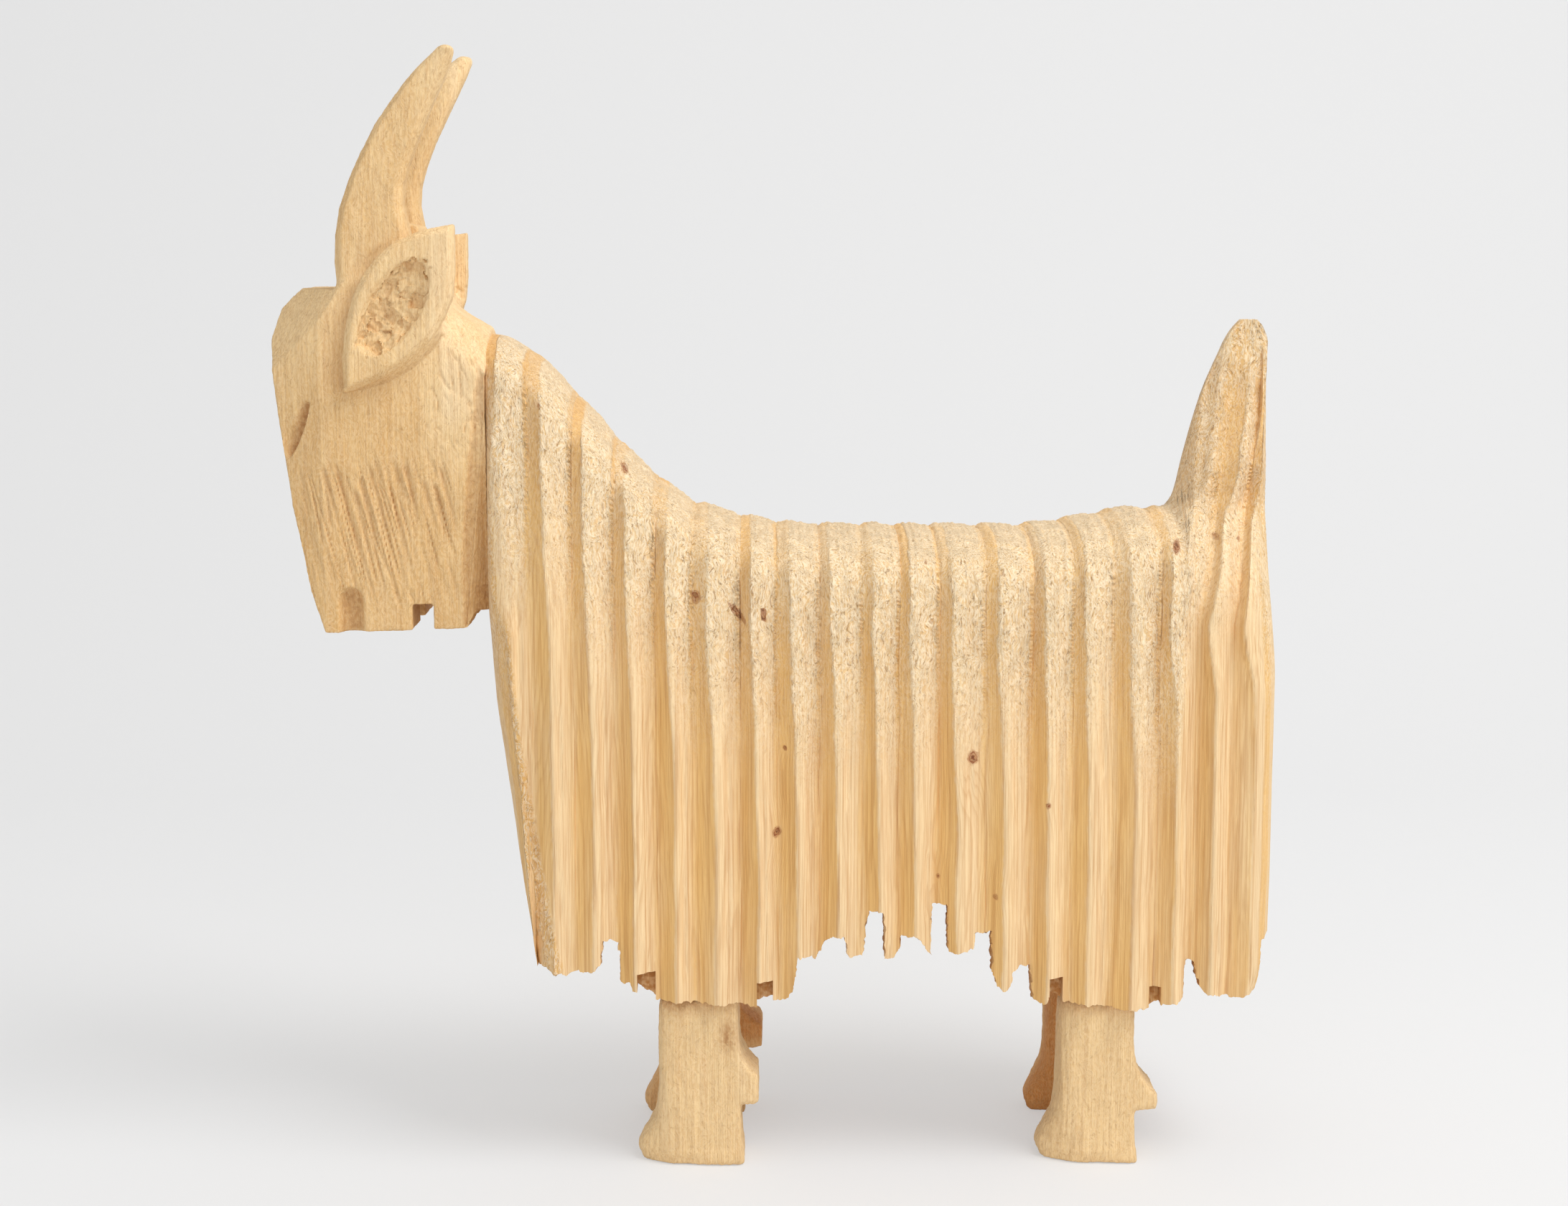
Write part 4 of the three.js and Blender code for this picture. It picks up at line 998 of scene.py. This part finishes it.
def eye_fillings():
    """Blocks that fill the solid's eyes, for the slender slits that are cut instead."""
    made = []
    for side in (-1, 1):
        points = []
        for low, high in ((11.5, 5), (33, 33)):
            for inset in (9, 0):
                for back, z in ((low, 444), (high, 496)):
                    face = lerp(FACE_HALF, HEAD_HALF, back / FACE_TAPER)
                    points.append((FACE_FRONT + back, side * (face - inset), z))
        made.append(mesh_object(f"filling_{side}", points, [face[::side] for face in BOX_FACES]))
    return made


def head_top(back):
    """The line of the poll and nape, above which an ear stands free."""
    return np.interp(back, [96, 103, 109, 118, 135], [577, 566, 547, 539, 530])


def nape_corner(p):
    """The corners between the nape and the sides of the head."""
    x, y, z = p.T
    back = x - FACE_FRONT
    corner = rise(back, 98, 106) * (1 - near_neck(p)) * rise(z, 470, 495)
    return 0.5 * corner * (np.abs(y) < HEAD_SKIN) * (z < head_top(back) + 1.5)


def head_shape(p, edges):
    """Eases the skin, rounds the nape and horn tips, and slopes the ears' lower edges into the cheeks."""
    p = relax(p, edges, 0.5 * (1 - near_neck(p)), 1)
    p = relax(p, edges, horn_root(p), 24)
    p = relax(p, edges, nape_corner(p), 160)
    p = relax(p, edges, 0.5 * rise(p[:, 2], HORN_TIP - 24, HORN_TIP - 6), 45)
    p[:, 2] += 3.5 * rise(p[:, 2], HORN_TIP - 90, HORN_TIP - 6)
    right = p[:, 1] > 0
    back = p[:, 0] - FACE_FRONT - right * RIGHT_EAR[0]
    z = p[:, 2] - right * RIGHT_EAR[1]
    wide = np.abs(p[:, 1])
    live = np.flatnonzero((back > 48) & (back < 126) & (z > 482) & (z < 572) & (wide > HEAD_HALF - 3))
    live = live[z[live] < ear_hem(back[live])]
    edge = np.linspace(50, 116, 90)
    far = np.hypot(back[live, None] - edge, z[live, None] - ear_hem(edge))
    reach = ear_skirt(edge[far.argmin(1)])
    sloped = EAR_FACE - 1 - (EAR_FACE - 1 - HEAD_HALF) * far.min(1) / reach
    below = rise(head_top(p[live, 0] - FACE_FRONT) - p[live, 2], 3, 16)
    wide[live] += below * np.maximum(sloped - wide[live], 0)
    p = np.stack([p[:, 0], np.sign(p[:, 1]) * wide, p[:, 2]], -1)
    skirt = np.zeros(len(p))
    skirt[live] = 0.5 * (far.min(1) < reach + 2)
    return relax(p, edges, skirt, 4)


def head_work(p, n):
    """Carving of the head, horns and ears: millimetres outwards, and how much painted shade lies in the cuts
    and hollows.
    """
    x, y, z = p.T
    wide = np.abs(y)
    back = x - FACE_FRONT
    sideways = np.abs(n[:, 1])
    flank = rise(sideways, 0.5, 0.9)
    on_ear = (wide > HEAD_SKIN) & (z < EAR_TOP)
    on_head = (wide < HEAD_SKIN) & (z < 556)
    across = back + 0.24 * (z - 446)
    cheek = rise(back, 14, 28) * fade(back, 108, 122) * rise(z, 356, 368)
    cheek = cheek * fade(z - 0.12 * (back - 70), 440, 458) * flank * on_head
    strokes = cheek_strokes(across, z)
    fine = 1.1 * valleys(across / 2.9, z / 70, 73, 0.28) + 0.45 * noise(across / 2.0, 0, z / 40, 74)
    nape = rise(back, 88, 104) * rise(z, 440, 466) * on_head
    chops = 0.9 * valleys((back + 0.18 * z) / 5.0, z / 16, 75, 0.25)
    gap = ear_edge(z) - back
    dip = rise(gap, -4, 1) * fade(gap, 3, 17) * rise(z, 484, 498) * fade(z, 566, 590)
    dip = dip * flank * (wide < HEAD_SKIN)
    shift = np.where(y < 0, 0.0, 1.0)
    bites = ear_bites(back - shift * RIGHT_EAR[0], z - shift * RIGHT_EAR[1])
    bites = bites * on_ear * rise(sideways, 0.2, 0.6)
    neck = rise(back, 112, 130) * rise(z, 492, 512)
    ragged = back - lerp(119, 130, rise(z, 380, 530)) + 1.6 * noise(z / 5, y / 9, 0, 76)
    recess = rise(ragged, 0, 2.5) * fade(z, 490, 525) * flank * on_head
    slit, scoop = eye_cuts(back, z)
    eye = rise(sideways, 0.3, 0.6) * on_head
    out = fuzz(p) + 1.2 * neck - cheek * (strokes + fine) - nape * chops - 2.6 * dip - bites
    out = out - eye * (5.4 * slit + 2.8 * scoop) - 2.2 * recess
    face = np.minimum(lerp(FACE_HALF, HEAD_HALF, back / FACE_TAPER), HEAD_HALF)
    sunk = face - wide
    # Painted shade in the nostrils and jaw notch, deeper in the ear hollows, in the eye slits, in the recess
    # behind the cheek, beside each ear, and in the cheek strokes and nape chops.
    under = rise(sunk, 1, 5) * (z < 372) * (back > 30)
    ear_hollow_shade = on_ear * rise(EAR_FACE - wide + bites, 6.5, 11)
    dark = np.maximum.reduce([0.9 * eye * slit, 0.6 * under, 0.3 * ear_hollow_shade, 0.4 * recess, 0.12 * dip])
    dark = np.maximum(dark, cheek * (0.24 * strokes + 0.2 * np.maximum(fine, 0)) + 0.15 * nape * chops)
    return out, dark


def leg_work(p, n):
    """Rasp lines and fibres of a leg: millimetres outwards, and how dark it is: painted shade on the right
    legs and at the top under the hem, and a stain.
    """
    x, y, z = p.T
    rasp = 0.45 * noise(x / 1.8, y / 3, z / 42, 81)
    torn = rise(z, 12, 30) * 0.35 * noise(x / 2.1, y / 2.1, z / 4.2, 82)
    band = 0.5 * fade(z, 8, 12) * rise(np.abs(n[:, 1]) + np.abs(n[:, 0]), 0.4, 0.8)
    out = 0.8 * noise(x / 17, y / 17, z / 26, 83) + rasp + torn + band
    stain = np.exp(-(((x - STAIN_X) / 5) ** 2) - ((z - STAIN_Z) / 10) ** 2) * (np.abs(n[:, 1]) > 0.5)
    # Painted shade over the right legs and at each top under the hem; the stain on the left foreleg is the
    # wood's own.
    dark = np.where(y > 0, 0.15, np.maximum(0.5 * rise(z, 96, 108), 0.9 * stain))
    return out * rise(z, 0, 1.2), dark


def work_over(whole, shape, work, look, centre):
    """Eases a skin, carves it and stores what the wood material reads."""
    p = shape(points_of(whole), read(whole.data.edges, "vertices", 2, np.int32))
    set_points(whole, p)
    n = normals_of(whole)
    out, dark = work(p, n)
    set_points(whole, p + n * out[:, None])
    tone, torn = look(p)
    mark(whole, tone=tone, torn=torn, inner=dark, knot=0.0, ring=ring_field(p, centre, 0))


def horn_seat(back):
    return np.interp(back, [45, 96], [558, 577])


def horn_root(p):
    """Where the horns run into the head, on its sides."""
    wide = np.abs(p[:, 1])
    near_seat = fade(np.abs(p[:, 2] - horn_seat(p[:, 0] - FACE_FRONT)), 3, 12)
    return 0.5 * near_seat * rise(wide, 36, 43) * (wide < HEAD_SKIN)


def near_neck(p):
    return rise(p[:, 0], NECK_PLANE - 4, NECK_PLANE - 1)


def head_look(p):
    """How tan and how torn the head is: yellower on the face and cheeks, pale on the nape."""
    x, _, z = p.T
    nape = rise(x - FACE_FRONT, 92, 112) * rise(z, 430, 490)
    tan = 0.65 * fade(z, 470, 550) + 0.38 * rise(z, 560, 600)
    return tan * (1 - nape) - 0.35 * nape, 0.3


def leg_look(p):
    """How tan and how torn a leg is: the right ones get painted shade on their inner sides, except the fore
    toe.
    """
    x, y, z = p.T
    fore_toe = fade(z, 45, 60) * (x < 0)
    return np.where(y > 0, fade(y, 38, 58) * (1.2 - 1.2 * fore_toe), 0) - 0.1, 0.3


def front_line(p, heights):
    """The foremost place of a leg at each height."""
    return np.array([p[np.abs(p[:, 2] - height) < 4, 0].min() for height in heights])


def leg_shape(p, edges):
    """Rounds the faceted toe of a leg into its shank and leaves the sole flat."""
    eased = relax(p, edges, np.full(len(p), 0.5), 8)
    toe = fade(p[:, 0] - p[:, 0].min(), 34, 46)
    q = relax(eased, edges, 0.5 * toe, 150)
    heights = np.arange(2.0, 110.0, 4.0)
    lost = front_line(q, heights) - front_line(p, heights)
    q[:, 0] -= toe * np.interp(q[:, 2], heights, lost)
    q[:, 2] = np.where(p[:, 2] < 3, eased[:, 2], q[:, 2])
    return q


head_whole = blend("head_whole", [
    ("head", (0, 0, 0)), ("horn_left", (0, 0, -SINK)), ("horn_right", (0, 0, -SINK)),
    ("ear_left", (0, SINK, 0)), ("ear_right", (0, -SINK, 0)),
], HEAD_VOXEL, eye_fillings())
work_over(head_whole, head_shape, head_work, head_look, (-90, 160))
x, y, z = read(head_whole.data.polygons, "center", 3).T.astype(float) / MM
back, wide = x - FACE_FRONT, np.abs(y)
is_free = (wide > 40) & (z > head_top(back) + 1) & (back > 97)
is_ear = (wide > HEAD_HALF + 0.9 + 3 * rise(back, 108, 114)) | is_free
is_ear = is_ear & (z < EAR_TOP) & (z > 480) & (back > 42)
is_horn = (z > horn_seat(back)) & (wide > 22) & (back > 40) & (back < 126) & ~is_ear
sides = {"left": y < 0, "right": y > 0}
head_skin = bmesh.new()
head_skin.from_mesh(head_whole.data)
head_skin.faces.ensure_lookup_table()
head_skin.faces.index_update()
pieces = {}
for side, on_side in sides.items():
    pieces[f"horn_{side}"] = largest_patch(head_skin, is_horn & on_side)
    pieces[f"ear_{side}"] = largest_patch(head_skin, is_ear & on_side)
rest = ~np.any(list(pieces.values()), 0)
pieces["head"] = largest_patch(head_skin, rest)
for side, on_side in sides.items():
    pieces[f"ear_{side}"] |= rest & ~pieces["head"] & on_side
head_skin.free()
for node, chosen in pieces.items():
    piece = piece_of(head_whole, f"carved_{node}", chosen)
    shade_smooth(piece, PLAIN_ANGLE)
    dress(piece, plain_wood, "plain_pine", node)
bpy.data.objects.remove(head_whole)

for node in LEG_X:
    leg = blend(f"carved_{node}", [(node, (0, 0, 0))], LEG_VOXEL)
    work_over(leg, leg_shape, leg_work, leg_look, (LEG_X[node][0] + 140, 60))
    shade_smooth(leg, PLAIN_ANGLE)
    # The right legs take the shaded copy of the pine, as painted shade.
    dress(leg, shaded_wood if node.endswith("right") else plain_wood, "plain_pine", node)

for name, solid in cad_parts.items():
    if "dowel" in name or "peg" in name:
        solid.data.materials.clear()
        solid.data.materials.append(dowel_wood)


# Studio
WHITE = (1.0, 1.0, 1.0, 1.0)
ROOM_GREY = (0.8, 0.8, 0.8, 1.0)
PAPER_GLOW = (0.88, 0.88, 0.88, 1.0)
GLOW_SHARE = 0.48
ROOM_LIGHT = 0.55
SWEEP_HALF, SWEEP_FRONT, SWEEP_BEND, SWEEP_RADIUS, SWEEP_TOP = 4000.0, -4000.0, 1000.0, 1200.0, 5000.0
KEY = {"place": (1.5, -1.0, 2.9), "size": 1.6, "power": 66}
FILL = {"place": (0.1, -3.0, 1.2), "size": 2.6, "power": 18}
LIT_POINT = (0, 0, 0.3)
CAMERA_PLACE = (-0.0137, -1.538, 0.5877)
CAMERA_DOWN, CAMERA_RIGHT = np.radians(8.63), np.radians(0.708)
LENS = 55.4
SENSOR = 36


def seen_instead(tree, lighting, shown, output):
    """Shows one shader to the eye, and to gloss and glass, while another lights the object."""
    rays = add_node(tree, "LightPath", {}).outputs
    seen = rays["Is Camera Ray"]
    for ray in ("Is Glossy Ray", "Is Transmission Ray"):
        seen = add_node(tree, "Math", {0: seen, 1: rays[ray]}).outputs[0]
    both = {0: seen, 1: lighting.outputs[0], 2: shown.outputs[0]}
    feed(tree, tree.nodes[output], {0: add_node(tree, "MixShader", both).outputs[0]})


def room():
    """Even white light all round, and a pale grey wherever the paper ends."""
    world = adjust(bpy.data.worlds.new("room"), use_nodes=True)
    tree = world.node_tree
    lighting = feed(tree, tree.nodes["Background"], {"Color": WHITE, "Strength": ROOM_LIGHT})
    shown = add_node(tree, "Background", {"Color": ROOM_GREY, "Strength": 1.0})
    seen_instead(tree, lighting, shown, "World Output")
    bpy.context.scene.world = world


def studio():
    """A pale floor that runs up into a backdrop in one sweep."""
    turn = np.linspace(0, np.pi / 2, 24)
    bend = SWEEP_BEND + SWEEP_RADIUS * np.sin(turn)
    lift = SWEEP_RADIUS - SWEEP_RADIUS * np.cos(turn)
    y = np.concatenate([[SWEEP_FRONT, SWEEP_BEND], bend, [SWEEP_BEND + SWEEP_RADIUS]])
    z = np.concatenate([[0.0, 0.0], lift, [SWEEP_TOP]])
    points = [(x, b, c) for b, c in zip(y, z) for x in (-SWEEP_HALF, SWEEP_HALF)]
    faces = [(2 * i, 2 * i + 1, 2 * i + 3, 2 * i + 2) for i in range(len(y) - 1)]
    floor = mesh_object("studio_sweep", points, faces)
    floor.data.shade_smooth()
    paper = adjust(bpy.data.materials.new("paper"), use_nodes=True)
    tree = paper.node_tree
    dull = {"Base Color": ROOM_GREY, "Roughness": 0.9, "Specular IOR Level": 0.1}
    shader = feed(tree, tree.nodes["Principled BSDF"], dull)
    glow = add_node(tree, "Emission", {"Color": PAPER_GLOW, "Strength": 1.0})
    both = {0: GLOW_SHARE, 1: shader.outputs[0], 2: glow.outputs[0]}
    seen_instead(tree, shader, add_node(tree, "MixShader", both), "Material Output")
    floor.data.materials.append(paper)


def aim(obj, place, ahead):
    obj.location = place
    obj.rotation_euler = ahead.to_track_quat("-Z", "Y").to_euler()


def lamp(name, place, size, power):
    light = adjust(bpy.data.lights.new(name, "AREA"), size=size, energy=power)
    aim(new_object(name, light), place, Vector(LIT_POINT) - Vector(place))


room()
studio()
lamp("key", **KEY)
lamp("fill", **FILL)

camera_data = adjust(bpy.data.cameras.new("camera"), lens=LENS, sensor_width=SENSOR)
camera = new_object("camera", camera_data)
level = np.cos(CAMERA_DOWN)
ahead = Vector((level * np.sin(CAMERA_RIGHT), level * np.cos(CAMERA_RIGHT), -np.sin(CAMERA_DOWN)))
aim(camera, CAMERA_PLACE, ahead)
bpy.context.scene.camera = camera
bpy.context.scene.view_settings.view_transform = "Standard"
